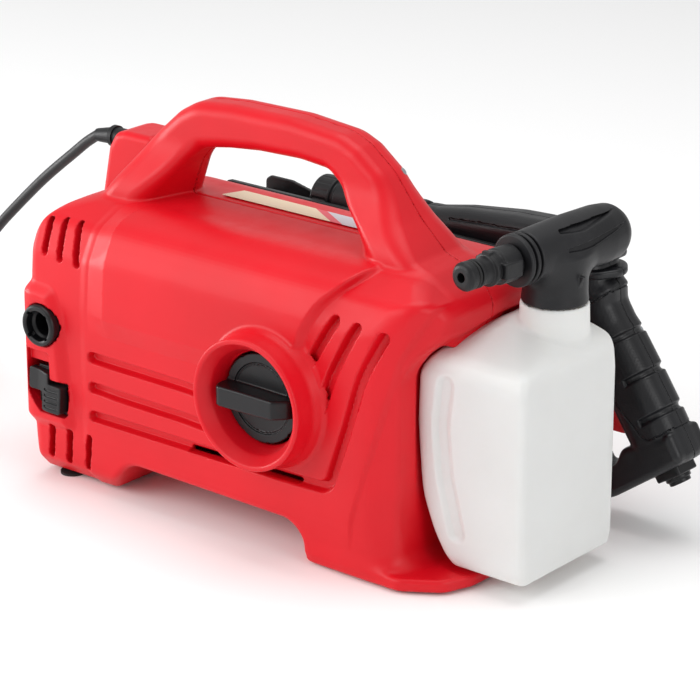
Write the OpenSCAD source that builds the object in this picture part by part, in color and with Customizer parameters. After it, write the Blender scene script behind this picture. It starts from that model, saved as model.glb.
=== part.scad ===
// Compact electric pressure washer with its spray gun and foam bottle in their stores.
// Millimetres. X runs along the casing towards the bottle, -Y is the control side, +Z is up.
// The modules are drawn about the casing's parting plane (Y = 0) and moved to the origin,
// which is the middle of the footprint of the washer without its cord, on the floor.

/* [Casing] */
// X of the casing's left end wall
case_left = -160; // [-162:1:-158]
// X of the overhang above the bottle
case_right = 148; // [147:1:149]
// Half width of the casing
case_half = 75; // [74:1:76]
// Height of the flat roof
roof_z = 183; // [182:1:184]
// Height of the belly between the feet
belly_z = 22; // [20:1:24]
// Wall thickness of the moulded shells
wall = 2.6; // [2.2:0.1:3]
// X of the end wall behind the bottle
end_wall_x = 128; // [126:1:128]
// Gap under the casing that the rubber feet make
foot_proud = 1.5; // [1:0.5:2]

/* [Handle] */
// Half thickness of the grip across the casing
grip_half = 17; // [16:1:18]
// Half thickness of the handle's legs where they meet the roof
leg_half = 26; // [24:1:27]
// Height of the handle's top
handle_top = 248; // [247:1:250]

/* [Switch] */
// X of the rotary switch
knob_x = 38.5; // [37:0.5:40]
// Height of the rotary switch
knob_z = 99.5; // [98:0.5:101]
// Radius of the knob's disc
knob_r = 27.5; // [26:0.5:28]
// Outer radius of the bezel's rim
bezel_r = 39; // [38:0.5:40]
// How far the bezel's rim stands off the panel
bezel_out = 20; // [18:1:22]

/* [Water outlet and inlet] */
// X of the high-pressure outlet
outlet_x = -143; // [-144:1:-142]
// Height of the high-pressure outlet
outlet_z = 103.5; // [102:0.5:105]
// Outer radius of the outlet socket
coupler_r = 13.5; // [13:0.5:14]
// Bore radius of the outlet socket
socket_r = 7.5; // [7:0.5:8]
// Y of the garden hose inlet on the left end
inlet_y = 44; // [43:1:45]
// Height of the garden hose inlet
inlet_z = 62; // [60:1:64]
// Radius over the inlet's G 3/4 thread
inlet_thread_r = 13.2; // [13:0.1:13.2]

/* [Bottle and foam head] */
// Height of the shelf that the bottle stands on
shelf_z = 9.5; // [9:0.5:10]
// X of the bottle's middle
bottle_x = 165; // [164:1:166]
// Half length of the bottle along X
bottle_half_x = 35; // [34:1:35]
// Half width of the bottle along Y
bottle_half_y = 42.5; // [42:0.5:43]
// Wall thickness of the blown bottle
bottle_wall = 1.8; // [1.6:0.1:2]
// X and Y of the bottle's neck
neck_x = 173.5; // [173:0.5:174]
neck_y = 22; // [21:1:23]
// Height of the foam head's barrel axis
head_z = 194.5; // [194:0.5:195]
// Turn of the foam head on the neck, in degrees
head_turn = -6.3; // [-8:0.1:-5]

/* [Spray gun] */
// Y of the gun's parting plane in its store
gun_y = 100; // [100:1:101]
// Half thickness of the gun
gun_half = 17; // [16:0.5:17]
// Lean of the gun's grip from vertical, in degrees
grip_lean = 32.5; // [32:0.5:33]

/* [Motor and pump] */
// Height of the pump's axis
pump_z = 78; // [77:1:79]
// Teeth of the motor's pinion
pinion_teeth = 12; // [12:1:12]
// Teeth of the drive gear
gear_teeth = 30; // [30:1:30]
// Module of the gears
gear_module = 1.25; // [1.25:0.05:1.25]
// Radius of the motor's can
motor_r = 38; // [36:1:38]
// Radius of the circle that the three pistons stand on
piston_circle_r = 15; // [14.5:0.5:15.5]
// Radius of a piston
piston_r = 6; // [5.5:0.5:6]

/* [Mains cord] */
// Diameter of the round mains cord
cord_d = 7; // [6.8:0.1:7.2]
// Middle radius of the innermost turns of the coil
coil_inner_r = 30; // [30:0.5:31]
// Turns that one layer of the coil spirals through
coil_turns = 4.125; // [4.125:0.125:4.125]
// Layers of the coil
coil_layers = 4; // [4:1:4]

/* [Hidden] */
$fn = 48;
red = "#e0202a";
black = "#26262a";
dark = "#3a3a3e";
steel = "#a8adb3";
brass_tone = "#c9a24a";
copper = "#b5652b";
milk = "#efebe8";

// Point of the gun's plane: a along the grip downwards, b forwards from its back edge
grip_top = [164, 150];
grip_down = [sin(grip_lean), -cos(grip_lean)];
grip_front = [-cos(grip_lean), -sin(grip_lean)];
function grip_at(a, b) = grip_top + a * grip_down + b * grip_front;

grip_len = 111;

// Reach of the washer, without its cord, on each side of the drawing frame
reach_left = case_left - 16;
reach_right = grip_at(grip_len - 4, -4)[0];
reach_front = -case_half - bezel_out;
reach_back = gun_y + gun_half;
origin_shift = [-(reach_left + reach_right) / 2, -(reach_front + reach_back) / 2, 0];

// Positions worked out from the driving dimensions
motor_z = pump_z + gear_module * (pinion_teeth + gear_teeth) / 2;
handle_dz = handle_top - 248;
case_bottom = foot_proud;

// ---------- helpers ----------
module placed() translate(origin_shift) children();

// A 2D outline drawn in X and Z, extruded from y0 to y1
module along_y(y0, y1) translate([0, y1, 0]) rotate([90, 0, 0]) linear_extrude(y1 - y0) children();

// A 2D outline drawn in Y and Z, extruded from x0 to x1
module along_x(x0, x1) translate([x0, 0, 0]) rotate([90, 0, 90]) linear_extrude(x1 - x0) children();

module rod_x(x0, x1, y, z, r) translate([x0, y, z]) rotate([0, 90, 0]) cylinder(h = x1 - x0, r = r);
module rod_y(y0, y1, x, z, r) translate([x, y1, z]) rotate([90, 0, 0]) cylinder(h = y1 - y0, r = r);
module rod_z(z0, z1, x, y, r) translate([x, y, z0]) cylinder(h = z1 - z0, r = r);

module block(x0, x1, y0, y1, z0, z1) translate([x0, y0, z0]) cube([x1 - x0, y1 - y0, z1 - z0]);

// Half spaces on the two sides of a plane of constant Y
module before_y(y) block(-400, 400, y - 400, y, -50, 400);
module behind_y(y) block(-400, 400, y, y + 400, -50, 400);

function mix(a, b, t) = [for (k = [0 : len(a) - 1]) a[k] * (1 - t) + b[k] * t];
function reversed(a) = [for (k = [len(a) - 1 : -1 : 0]) a[k]];
function mirrored(a) = concat(a, [for (p = reversed(a)) [-p[0], p[1]]]);
function arc(cx, cy, r, a0, a1, n) =
    [for (k = [0 : n]) [cx + r * cos(a0 + (a1 - a0) * k / n), cy + r * sin(a0 + (a1 - a0) * k / n)]];

// A rectangle with round corners, drawn about its centre
function rounded_box(hx, hy, r, n = 4) = concat(
    arc(hx - r, hy - r, r, 0, 90, n), arc(-hx + r, hy - r, r, 90, 180, n),
    arc(-hx + r, -hy + r, r, 180, 270, n), arc(hx - r, -hy + r, r, 270, 360, n));

// ---------- casing ----------
// Outlines of the casing from the side, the end and above; inset makes the inner faces
function side_outline(inset) = [
    [case_left + inset, case_bottom + inset], [case_left + inset, 163], [case_left + 12, 175 - inset],
    [case_left + 35, roof_z - inset], [100, roof_z - inset], [128, 177 - inset],
    [case_right - inset, 161 - inset], [case_right - 3 - inset, 150], [end_wall_x + 6 - inset, 137],
    [end_wall_x - inset, 126], [end_wall_x - inset, case_bottom + inset],
    [70 + inset, case_bottom + inset], [56 + inset, belly_z + inset],
    [-80 - inset, belly_z + inset], [-96 - inset, case_bottom + inset]];

function end_outline(inset) = mirrored([
    [60 - inset, case_bottom + inset], [70 - inset, 12 + inset / 2], [case_half - inset, 30],
    [case_half - inset, 132], [70 - inset, 156 - inset / 2], [60 - inset, 170 - inset],
    [36 - inset / 3, 179 - inset], [4, roof_z - inset]]);

function plan_outline(inset) = concat(
    [[case_left + inset, -64], [case_left + 8, -case_half + inset]],
    [[112, -case_half + inset], [end_wall_x + 3 - inset, -58], [case_right - inset, -44]],
    [[case_right - inset, 44], [end_wall_x + 3 - inset, 58], [112, case_half - inset]],
    [[case_left + 8, case_half - inset], [case_left + inset, 64]]);

module casing_block(inset) intersection() {
    along_y(-case_half, case_half) polygon(side_outline(inset));
    along_x(case_left, case_right) polygon(end_outline(inset));
    linear_extrude(roof_z) polygon(plan_outline(inset));
}

// The handle's arch: outer edge and window edge, point for point
arch_outer = [[case_left + 2, 164], [-135, 192], [-111, 220], [-78, 241], [-30, handle_top], [2, handle_top],
    [33, 245 + handle_dz], [66, 237 + handle_dz], [92, 212], [125, 194], [141, 169]];
arch_window = [[-73, 178], [-71, 190], [-66, 205], [-60, 217], [-40, 222], [-18, 225],
    [12, 225], [37, 223], [47, 216], [52, 203], [58, 178]];

module arch(half, inset) along_y(-half, half)
    polygon(concat(mix(arch_outer, arch_window, inset), reversed(mix(arch_window, arch_outer, inset))));

module handle_block(half, inset) intersection() {
    arch(leg_half, inset);
    along_x(case_left, case_right)
        polygon(mirrored([[leg_half + half - grip_half, 150], [leg_half + half - grip_half, 184],
            [half, 214], [half, 250], [half - 4, 252]]));
}

// Hood behind the handle's left leg that the mains cord comes out of
hood_y = 20;
hood_outline = [[-167, 172], [-167, 196], [-161, 204], [-154, 208], [-128, 208], [-118, 178], [-160, 160]];
module hood_block(half, inset) along_y(hood_y - half, hood_y + half)
    polygon([for (p = hood_outline) [p[0] + inset * sign(-140 - p[0]), p[1] - inset * (p[1] > 190 ? 1 : 0)]]);

// The shelf under the bottle
module shelf_block() translate([0, 0, case_bottom]) linear_extrude(shelf_z - case_bottom)
    polygon(concat([[118, -70]], arc(140, -46, 24, -80, 0, 4), arc(140, 46, 24, 0, 80, 4), [[118, 70]]));

// Three bent grooves on a side panel: height, X of the bend, X and height of the top
groove_w = 7;
groove_deep = 1.3;
grooves = [[54.5, 88, 122, 157], [71, 71, 104, 159], [88, 54, 87, 160]];
module groove_outline(g) polygon([
    [-104, g[0] - groove_w / 2], [g[1] + 2.5, g[0] - groove_w / 2], [g[2] + groove_w / 2, g[3]],
    [g[2] - groove_w / 2, g[3]], [g[1] - 2.5, g[0] + groove_w / 2], [-104, g[0] + groove_w / 2]]);
module panel_grooves(y0, y1) along_y(y0, y1) for (g = grooves) groove_outline(g);

// Air slots: three high and three low at the left, and vents in the lowest groove
slot_w = 5;
slot_pitch = 13.5;
module air_slots(y0, y1) {
    for (k = [0 : 2]) {
        along_y(y0, y1) translate([-149 + k * slot_pitch, 143]) square([slot_w, 20]);
        along_y(y0, y1) translate([-143 + k * slot_pitch, 15]) square([slot_w, 23]);
    }
    along_y(y0, y1) translate([-26, 50.5]) square([41, 5]);
    along_y(y0, y1) translate([24, 50.5]) square([38, 5]);
}

// Screw bosses that join the shells: X and Z of each
bosses = [[-146, 134], [-96, 162], [96, 160], [114, 30], [-104, 32], [-96, 210], [72, 222]];
boss_r = 6;
pocket_r = 4.2;
pilot_r = 1.5;
boss_seat = 6;
module boss_pins(y0, y1, r) for (b = bosses) rod_y(y0, y1, b[0], b[1], r);

foot_spots = [[-140, -56], [-140, 56], [116, -56], [116, 56]];
foot_stem_r = 2;
module foot_holes() for (f = foot_spots) rod_z(case_bottom - 1, case_bottom + 6, f[0], f[1], foot_stem_r + 0.05);

// Both shells before they are parted and pierced
module whole_shell() {
    difference() {
        union() {
            casing_block(0);
            handle_block(grip_half, 0);
        }
        casing_block(wall);
        handle_block(grip_half - 3, 0.12);
    }
    shelf_block();
    intersection() {
        boss_pins(-case_half, case_half, boss_r);
        union() {
            casing_block(0.4);
            handle_block(grip_half - 0.4, 0.03);
        }
    }
}

module front_shell() color(red) placed() difference() {
    union() {
        intersection() {
            whole_shell();
            before_y(0);
        }
        bezel();
        outlet_boss();
    }
    boss_pins(-14, 1, pilot_r);
    rod_y(-case_half - 2, -case_half + 10, knob_x, knob_z, knob_r + 1);
    difference() {
        panel_grooves(-case_half - 1, -case_half + groove_deep);
        rod_y(-case_half - 2, -case_half + 3, knob_x, knob_z, bezel_r + 3);
    }
    difference() {
        air_slots(-case_half - 1, -case_half + 12);
        rod_y(-case_half - 2, -case_half + 13, knob_x, knob_z, bezel_r + 4);
    }
    rod_y(-case_half - 6, -case_half + 12, outlet_x, outlet_z, coupler_r + 0.05);
    block(-157, -124, -case_half - 4, -case_half + 12, 44, 86);
    foot_holes();
}

// Flared ring round the knob, part of the front shell
module bezel() translate([knob_x, -case_half, knob_z]) rotate([90, 0, 0]) rotate_extrude()
    polygon([[knob_r + 1, -wall], [bezel_r + 6, -wall], [bezel_r + 5, 1], [bezel_r + 1, 6],
        [bezel_r - 0.5, 12], [bezel_r, bezel_out], [bezel_r - 3, bezel_out], [bezel_r - 5, 10],
        [bezel_r - 9, 3], [knob_r + 1, 2]]);

// Raised pad round the outlet and its release lever, part of the front shell
module outlet_boss() intersection() {
    along_y(-case_half - 3, -case_half + 2)
        polygon([[-158, 8], [-158, 118], [-152, 126], [-135, 126], [-129, 112], [-124, 60], [-122, 8]]);
    along_x(case_left, case_right) polygon([[-case_half - 3, 14], [-case_half - 3, 124],
        [-case_half + 2, 130], [-case_half + 2, 6]]);
}

module rear_shell() color(red) placed() difference() {
    intersection() {
        union() {
            whole_shell();
            difference() {
                hood_block(16, 0);
                hood_block(16 - wall, wall);
                casing_block(wall);
                handle_block(grip_half - 3, 0.12);
            }
        }
        behind_y(0);
    }
    boss_pins(-1, boss_seat + 1, 1.9);
    boss_pins(boss_seat, case_half + 1, pocket_r);
    panel_grooves(case_half - groove_deep, case_half + 1);
    air_slots(case_half - 12, case_half + 1);
    for (k = [0 : 5]) along_y(case_half - 12, case_half + 1) translate([60 + k * 9, 84 - k]) square([4, 44]);
    rod_x(case_left - 1, case_left + 12, inlet_y, inlet_z, 16.05);
    rod_x(-169, -150, hood_y, 198, 6.05);
    foot_holes();
    for (x = cradle_screws) rod_y(case_half - 20, case_half + 1, x, cradle_floor - 8, 2.05);
}

module shell_screws() color(steel) placed() for (b = bosses) {
    rod_y(-12, boss_seat, b[0], b[1], pilot_r - 0.05);
    difference() {
        rod_y(boss_seat, boss_seat + 2.6, b[0], b[1], 3.6);
        block(b[0] - 0.5, b[0] + 0.5, boss_seat + 1.4, boss_seat + 3, b[1] - 2.4, b[1] + 2.4);
        block(b[0] - 2.4, b[0] + 2.4, boss_seat + 1.4, boss_seat + 3, b[1] - 0.5, b[1] + 0.5);
    }
}

module rubber_feet() color(black) placed() for (f = foot_spots) {
    rod_z(0, case_bottom, f[0], f[1], 8);
    rod_z(case_bottom, case_bottom + 5, f[0], f[1], foot_stem_r);
}

// Plain two-tone label on the rear slope of the roof
module roof_label() color("#d8d4a8") placed() intersection() {
    difference() {
        casing_block(-0.3);
        casing_block(0);
    }
    block(-66, 52, 6, 34, 170, 190);
}

// ---------- store for the gun on the rear ----------
cradle_floor = 144;
// Top of the tab behind the gun's barrel
cradle_tab_top = 160.5;
cradle_screws = [-90, 0, 80];
module gun_cradle() color(black) placed() difference() {
    union() {
        block(-122, 96, case_half, case_half + 2.4, cradle_floor - 16, 163);
        block(-122, 16, case_half, gun_y + 13, cradle_floor - 2.4, cradle_floor);
        block(-122, -119.6, case_half, gun_y + 13, cradle_floor, 151);
        block(-122, -80, gun_y + 10.6, gun_y + 13, cradle_floor, cradle_tab_top);
        for (x = [-100 : 38 : 14]) intersection() {
            block(x, x + 2.4, case_half, gun_y + 13, cradle_floor - 16, cradle_floor);
            along_x(x, x + 2.4) polygon([[case_half, cradle_floor - 16], [gun_y + 13, cradle_floor - 2.4],
                [gun_y + 13, cradle_floor], [case_half, cradle_floor]]);
        }
        for (x = cradle_screws) rod_y(case_half - 16, case_half, x, cradle_floor - 8, 2);
    }
    for (x = [-60 : 30 : 0]) block(x, x + 10, gun_y - 8, gun_y + 8, cradle_floor - 3, cradle_floor + 1);
}

// ---------- rotary switch ----------
module at_knob() translate([knob_x, -case_half, knob_z]) rotate([90, 0, 0]) children();

module switch_knob() color(black) placed() at_knob() difference() {
    union() {
        translate([0, 0, -4]) cylinder(h = 8, r = knob_r);
        intersection() {
            translate([0, 0, 4]) cylinder(h = 13, r = knob_r);
            linear_extrude(17) polygon(rounded_box(knob_r, 6.5, 6));
        }
    }
    translate([0, 0, -5]) cylinder(h = 12, r = 3.05);
    difference() {
        translate([0, 0, 3]) cylinder(h = 2, r = 23);
        translate([0, 0, 2]) cylinder(h = 4, r = 21.5);
        translate([-knob_r, -7, 2]) cube([2 * knob_r, 14, 4]);
    }
}

module switch_spindle() color(milk) placed() at_knob() difference() {
    translate([0, 0, -14]) cylinder(h = 20, r = 3);
    translate([-4, 1.8, -5]) cube([8, 4, 12]);
}

module switch_box() color(dark) placed() at_knob() difference() {
    union() {
        translate([-16, -16, -30]) cube([32, 32, 22]);
        for (x = [-12, 4]) translate([x, -10, -36]) cube([8, 1, 6]);
        for (x = [-12, 4]) translate([x, 9, -36]) cube([8, 1, 6]);
    }
    translate([0, 0, -20]) cylinder(h = 13, r = 3.06);
}

// ---------- outlet ----------
module outlet_coupler() color(black) placed() difference() {
    union() {
        rod_y(-case_half - 6, -case_half + 30, outlet_x, outlet_z, coupler_r);
        rod_y(-case_half + 14, -case_half + 17, outlet_x, outlet_z, coupler_r + 0.7);
    }
    rod_y(-case_half - 7, -case_half - 1, outlet_x, outlet_z, coupler_r - 3);
    rod_y(-case_half - 2, -case_half + 18, outlet_x, outlet_z, socket_r);
    rod_y(-case_half + 17, -case_half + 31, outlet_x, outlet_z, 4);
    difference() {
        rod_y(-case_half + 6, -case_half + 9, outlet_x, outlet_z, socket_r + 2.3);
        rod_y(-case_half + 5, -case_half + 10, outlet_x, outlet_z, socket_r - 0.5);
    }
}

module outlet_seal() color(dark) placed() translate([outlet_x, -case_half + 7.5, outlet_z])
    rotate([90, 0, 0]) rotate_extrude() translate([socket_r + 1.15, 0]) circle(r = 1.1, $fn = 24);

// Two-step latch that frees the hose; its flange runs behind the shell
module release_lever() color(black) placed() difference() {
    union() {
        block(-151, -123, -case_half + 3, -case_half + 5, 46, 84);
        block(-155, -137, -case_half - 4, -case_half + 3, 60, 74);
        block(-143, -126, -case_half - 4, -case_half + 3, 48.5, 66);
        block(-146, -138, -case_half + 5, -case_half + 11, 74, 84);
    }
    block(-149, -142, -case_half + 2, -case_half + 6, 76, 83);
    for (k = [0 : 2]) block(-141, -128, -case_half - 5, -case_half - 3.2, 51 + k * 4.5, 52.5 + k * 4.5);
}

module release_spring() color(steel) placed() for (k = [0 : 3])
    translate([-142, -case_half + 8.6, 56 + k * 3]) rotate_extrude() translate([3, 0]) circle(r = 0.5, $fn = 16);

// ---------- water path ----------
module inlet_connector() color(brass_tone) placed() difference() {
    union() {
        rod_x(case_left, case_left + 10, inlet_y, inlet_z, 16);
        rod_x(case_left - 3, case_left, inlet_y, inlet_z, 18);
        rod_x(case_left - 16, case_left - 3, inlet_y, inlet_z, inlet_thread_r);
        rod_x(case_left + 10, case_left + 22, inlet_y, inlet_z, 9);
    }
    rod_x(case_left - 17, case_left + 23, inlet_y, inlet_z, 5);
    rod_x(case_left - 17, case_left - 8, inlet_y, inlet_z, 9.5);
}

module inlet_filter() color("white") placed() difference() {
    union() {
        rod_x(-171, -169, inlet_y, inlet_z, 9.4);
        rod_x(-169, -156, inlet_y, inlet_z, 4.6);
    }
    rod_x(-172, -157.5, inlet_y, inlet_z, 3.4);
    for (k = [0 : 3]) rod_y(inlet_y - 10, inlet_y + 10, -166.5 + k * 2.6, inlet_z, 0.8);
}

// Pipe from the inlet to the underside of the pump head
inlet_elbow_x = case_left + 30;
module inlet_pipe() color(dark) placed() {
    rod_x(case_left + 22, inlet_elbow_x, inlet_y, inlet_z, 5);
    rod_y(22, inlet_y + 6, inlet_elbow_x, inlet_z, 6.5);
}

outlet_elbow_y = -24;
module outlet_pipe() color(steel) placed() {
    rod_y(-case_half + 30, outlet_elbow_y, outlet_x, outlet_z, 4);
    rod_z(pump_z + 14, outlet_z + 6, outlet_x, outlet_elbow_y, 6);
}

module stop_switch() color(dark) placed() {
    block(-126, -98, 12, 26, pump_z + 34, pump_z + 50);
    for (k = [0 : 2]) block(-122 + k * 8, -117 + k * 8, 18, 19, pump_z + 50, pump_z + 56);
}

module capacitor() color("#c8c8cc") placed() rod_x(72, 100, 40, 60, 12);

// ---------- motor ----------
motor_left = -52;
motor_right = 46;
module motor_can() color(dark) placed() difference() {
    union() {
        rod_x(motor_left, motor_right, 0, motor_z, motor_r);
        rod_x(motor_right, motor_right + 8, 0, motor_z, 14);
        block(motor_left + 10, motor_right - 10, -14, 14, belly_z + wall, motor_z - motor_r + 3);
    }
    rod_x(motor_left - 1, motor_right - 3, 0, motor_z, motor_r - 2.5);
    rod_x(motor_right - 4, motor_right + 9, 0, motor_z, 11);
    for (a = [0 : 60 : 300]) translate([motor_right - 5, 0, motor_z]) rotate([a, 0, 0])
        block(0, 6, 17, 29, -4, 4);
}

module field_winding() color(copper) placed() for (s = [-1, 1]) difference() {
    rod_x(motor_left + 22, motor_right - 26, 0, motor_z, motor_r - 3);
    rod_x(motor_left + 21, motor_right - 25, 0, motor_z, 24.5);
    block(motor_left, motor_right, s * 40 - 40, s * 40 + 40, motor_z - 16, motor_z + 16);
    block(motor_left, motor_right, -50, 50, s > 0 ? motor_z - 50 : motor_z, s > 0 ? motor_z : motor_z + 50);
}

module ring_x(x0, x1, r_out, r_in) difference() {
    rod_x(x0, x1, 0, motor_z, r_out);
    rod_x(x0 - 1, x1 + 1, 0, motor_z, r_in);
}

module motor_bearings() color(steel) placed() {
    ring_x(motor_left - 6, motor_left + 1, 11, 4.06);
    ring_x(motor_right, motor_right + 7, 10.9, 4.06);
}

module carbon_brushes() color(brass_tone) placed() for (s = [-1, 1])
    block(28, 36, s > 0 ? 13.2 : -34, s > 0 ? 34 : -13.2, motor_z - 4, motor_z + 4);

module rotor_shaft() color(steel) placed() rod_x(-76, motor_right + 24, 0, motor_z, 4);

module rotor_core() color(dark) placed() difference() {
    rod_x(motor_left + 20, motor_right - 28, 0, motor_z, 23.5);
    rod_x(motor_left + 19, motor_right - 27, 0, motor_z, 4);
    for (a = [0 : 30 : 330]) translate([0, 0, motor_z]) rotate([a, 0, 0])
        block(motor_left + 19, motor_right - 27, 20, 25, -1, 1);
}

module commutator() color(copper) placed() ring_x(26, 38, 13, 4);

module cooling_fan() color(milk) placed() difference() {
    union() {
        rod_x(motor_right + 10, motor_right + 22, 0, motor_z, 8);
        rod_x(motor_right + 10, motor_right + 12, 0, motor_z, 33);
        for (a = [0 : 40 : 320]) translate([motor_right + 11, 0, motor_z]) rotate([a, 0, 0])
            block(0, 11, 7, 32, -1, 1);
    }
    rod_x(motor_right + 9, motor_right + 23, 0, motor_z, 4);
}

// ---------- gears ----------
// Involute gear outline about the origin: teeth, module, angle that a tooth points to
pressure_angle = 20;
backlash_deg = 0.5;
function involute_deg(rb, r) = r <= rb ? 0 : sqrt(pow(r / rb, 2) - 1) * 180 / PI - acos(rb / r);
function gear_points(n, m, lead) = [
    for (k = [0 : n - 1]) let (
        rp = n * m / 2, rb = rp * cos(pressure_angle), ra = rp + m, rf = rp - 1.25 * m,
        half = 90 / n + involute_deg(rb, rp) - backlash_deg * 12 / n, mid = lead + 360 * k / n)
    for (p = [
        [rf, -half], [max(rb, rf), -half], [rp, involute_deg(rb, rp) - half],
        [ra, involute_deg(rb, ra) - half], [ra, half - involute_deg(rb, ra)],
        [rp, half - involute_deg(rb, rp)], [max(rb, rf), half], [rf, half]])
    [p[0] * cos(mid + p[1]), p[0] * sin(mid + p[1])]];

gear_left = -76;
gear_right = -66;
module drive_pinion() color(steel) placed() difference() {
    translate([0, 0, motor_z]) along_x(gear_left, gear_right)
        polygon(gear_points(pinion_teeth, gear_module, -90 + 180 / pinion_teeth));
    rod_x(gear_left - 1, gear_right + 1, 0, motor_z, 4);
}

module drive_gear() color(milk) placed() difference() {
    translate([0, 0, pump_z]) along_x(gear_left, gear_right)
        polygon(gear_points(gear_teeth, gear_module, 90));
    rod_x(gear_left - 1, gear_right + 1, 0, pump_z, 5);
}

// Hub, shaft and slanted face that push the pistons
swash_face = -90;
swash_tilt = 7;
module swash_plate() color(steel) placed() {
    rod_x(gear_left, gear_right + 12, 0, pump_z, 5);
    intersection() {
        rod_x(swash_face, gear_left, 0, pump_z, 22.5);
        translate([swash_face + 3, 0, pump_z]) rotate([0, swash_tilt, 0]) translate([0, -30, -30])
            cube([30, 60, 60]);
    }
}

module gear_case() color(steel) placed() difference() {
    union() {
        rod_x(-100, motor_left - 6, 0, pump_z, 30);
        rod_x(-80, motor_left - 6, 0, motor_z, 18);
        rod_x(motor_left - 6, motor_left, 0, motor_z, motor_r - 3);
        block(-96, -62, -12, 12, belly_z + wall, pump_z);
    }
    rod_x(-101, motor_left - 10, 0, pump_z, 26);
    rod_x(-78, motor_left - 9, 0, motor_z, 15);
    rod_x(motor_left - 7, motor_left + 1, 0, motor_z, 11);
    rod_x(motor_left - 10, motor_left - 6, 0, motor_z, 4.06);
    rod_x(motor_left - 11, motor_left + 1, 0, pump_z, 5.06);
}

// ---------- pump ----------
piston_angles = [90, 210, 330];
function piston_yz(k) = [piston_circle_r * cos(piston_angles[k]), pump_z + piston_circle_r * sin(piston_angles[k])];

module pump_head() color("#b9bcc0") placed() difference() {
    union() {
        rod_x(-150, -100, 0, pump_z, 32);
        block(-150, -122, -34, 34, pump_z - 14, pump_z + 14);
    }
    for (k = [0 : 2]) rod_x(-144, -99, piston_yz(k)[0], piston_yz(k)[1], piston_r + 0.05);
    for (k = [0 : 2]) rod_x(-118, -99, piston_yz(k)[0], piston_yz(k)[1], 10);
    rod_x(-151, -141, 0, pump_z, 6);
}

module valve_plugs() color(brass_tone) placed() for (k = [0 : 2])
    rod_x(-156, -150, piston_yz(k)[0], piston_yz(k)[1], 8, $fn = 6);

// Coils drawn at the length that the full stroke leaves them
module piston_springs() color(steel) placed() for (k = [0 : 2]) for (j = [0 : 4])
    translate([-117 + j * 2.4, piston_yz(k)[0], piston_yz(k)[1]]) rotate([0, 90, 0])
        rotate_extrude() translate([8, 0]) circle(r = 0.8, $fn = 16);

module piston(k) color(steel) placed() {
    rod_x(-136, swash_face - 0.6, piston_yz(k)[0], piston_yz(k)[1], piston_r);
    rod_x(-98, -96, piston_yz(k)[0], piston_yz(k)[1], 9);
}
module piston_1() piston(0);
module piston_2() piston(1);
module piston_3() piston(2);

// ---------- bottle ----------
bottle_top = 152;
function bottle_side(i) = [
    [bottle_x - bottle_half_x + 4 + i, shelf_z + i], [bottle_x - bottle_half_x + i, 40],
    [bottle_x - bottle_half_x + i, 116], [bottle_x - bottle_half_x + 6 + i, 130 - i],
    [bottle_x - 16, 142 - i], [bottle_x - 4, bottle_top - i], [bottle_x + 26, bottle_top - i],
    [bottle_x + bottle_half_x - 3 - i, 144 - i], [bottle_x + bottle_half_x - i, 134],
    [bottle_x + bottle_half_x - i, 40], [bottle_x + bottle_half_x - 4 - i, shelf_z + i]];
function bottle_end(i) = [
    [-bottle_half_y + 5 + i, shelf_z + i], [-bottle_half_y + i, 30], [-bottle_half_y + i, 120],
    [-bottle_half_y + 8 + i, 133 - i], [0, 148 - i], [6, bottle_top - i], [36, bottle_top - i],
    [bottle_half_y - 2 - i, 144 - i], [bottle_half_y - i, 134], [bottle_half_y - i, 30],
    [bottle_half_y - 5 - i, shelf_z + i]];

module bottle_block(i) intersection() {
    along_y(-60, 60) polygon(bottle_side(i));
    along_x(100, 230) polygon(bottle_end(i));
    translate([bottle_x, 0, 0]) linear_extrude(200)
        polygon(rounded_box(bottle_half_x - i, bottle_half_y - i, 14 - i));
}

neck_r = 19.5;
thread_r = 15.5;
neck_shoulder = 163;
neck_top = 177;
module bottle() color(milk) placed() difference() {
    union() {
        difference() {
            bottle_block(0);
            bottle_block(bottle_wall);
        }
        rod_z(bottle_top - 12, neck_shoulder, neck_x, neck_y, neck_r);
        rod_z(neck_shoulder, neck_top, neck_x, neck_y, thread_r);
    }
    rod_z(bottle_top - 13, bottle_top, neck_x, neck_y, neck_r - bottle_wall);
    rod_z(bottle_top - 13, neck_top + 1, neck_x, neck_y, thread_r - bottle_wall);
}

module siphon_tube() color("white") placed() difference() {
    union() {
        rod_z(20, 184, neck_x, neck_y, 3);
        rod_z(16, 20, neck_x, neck_y, 4.5);
    }
    rod_z(19, 185, neck_x, neck_y, 2);
    block(neck_x - 1, neck_x + 1, neck_y - 6, neck_y + 6, 15, 18);
}

// ---------- foam head ----------
module at_head() translate([neck_x, neck_y, head_z]) rotate([0, 0, head_turn]) children();
// Turns a profile given as [radius, length] about the barrel's axis, length running to the rear
module head_lathe(points) at_head() rotate([-90, 0, 0]) rotate_extrude() polygon(points);

flange_front = -36;
barrel_rear = 54;
module foam_head() color(black) placed() difference() {
    union() {
        head_lathe([[0, flange_front], [15.5, flange_front], [15.5, -33], [13, -33], [13, -31.2],
            [15.5, -31.2], [15.5, -28.6], [13, -28.6], [13, -26.8], [15.5, -26.8], [15.8, -20],
            [17.4, 10], [17.6, 34], [16, 46], [11, barrel_rear], [0, barrel_rear]]);
        rod_z(neck_shoulder + 0.4, head_z - 4, neck_x, neck_y, 19);
    }
    rod_z(neck_shoulder - 1, neck_top + 0.5, neck_x, neck_y, thread_r + 0.3);
    rod_z(neck_top, 184, neck_x, neck_y, 3.05);
    rod_z(183, head_z, neck_x, neck_y, 2);
    head_lathe([[0, flange_front - 1], [8.05, flange_front - 1], [8.05, -22], [0, -22]]);
    head_lathe([[0, -23], [3, -23], [3, 24], [0, 24]]);
    head_lathe([[0, 22], [9.05, 22], [9.05, barrel_rear + 1], [0, barrel_rear + 1]]);
}

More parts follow.
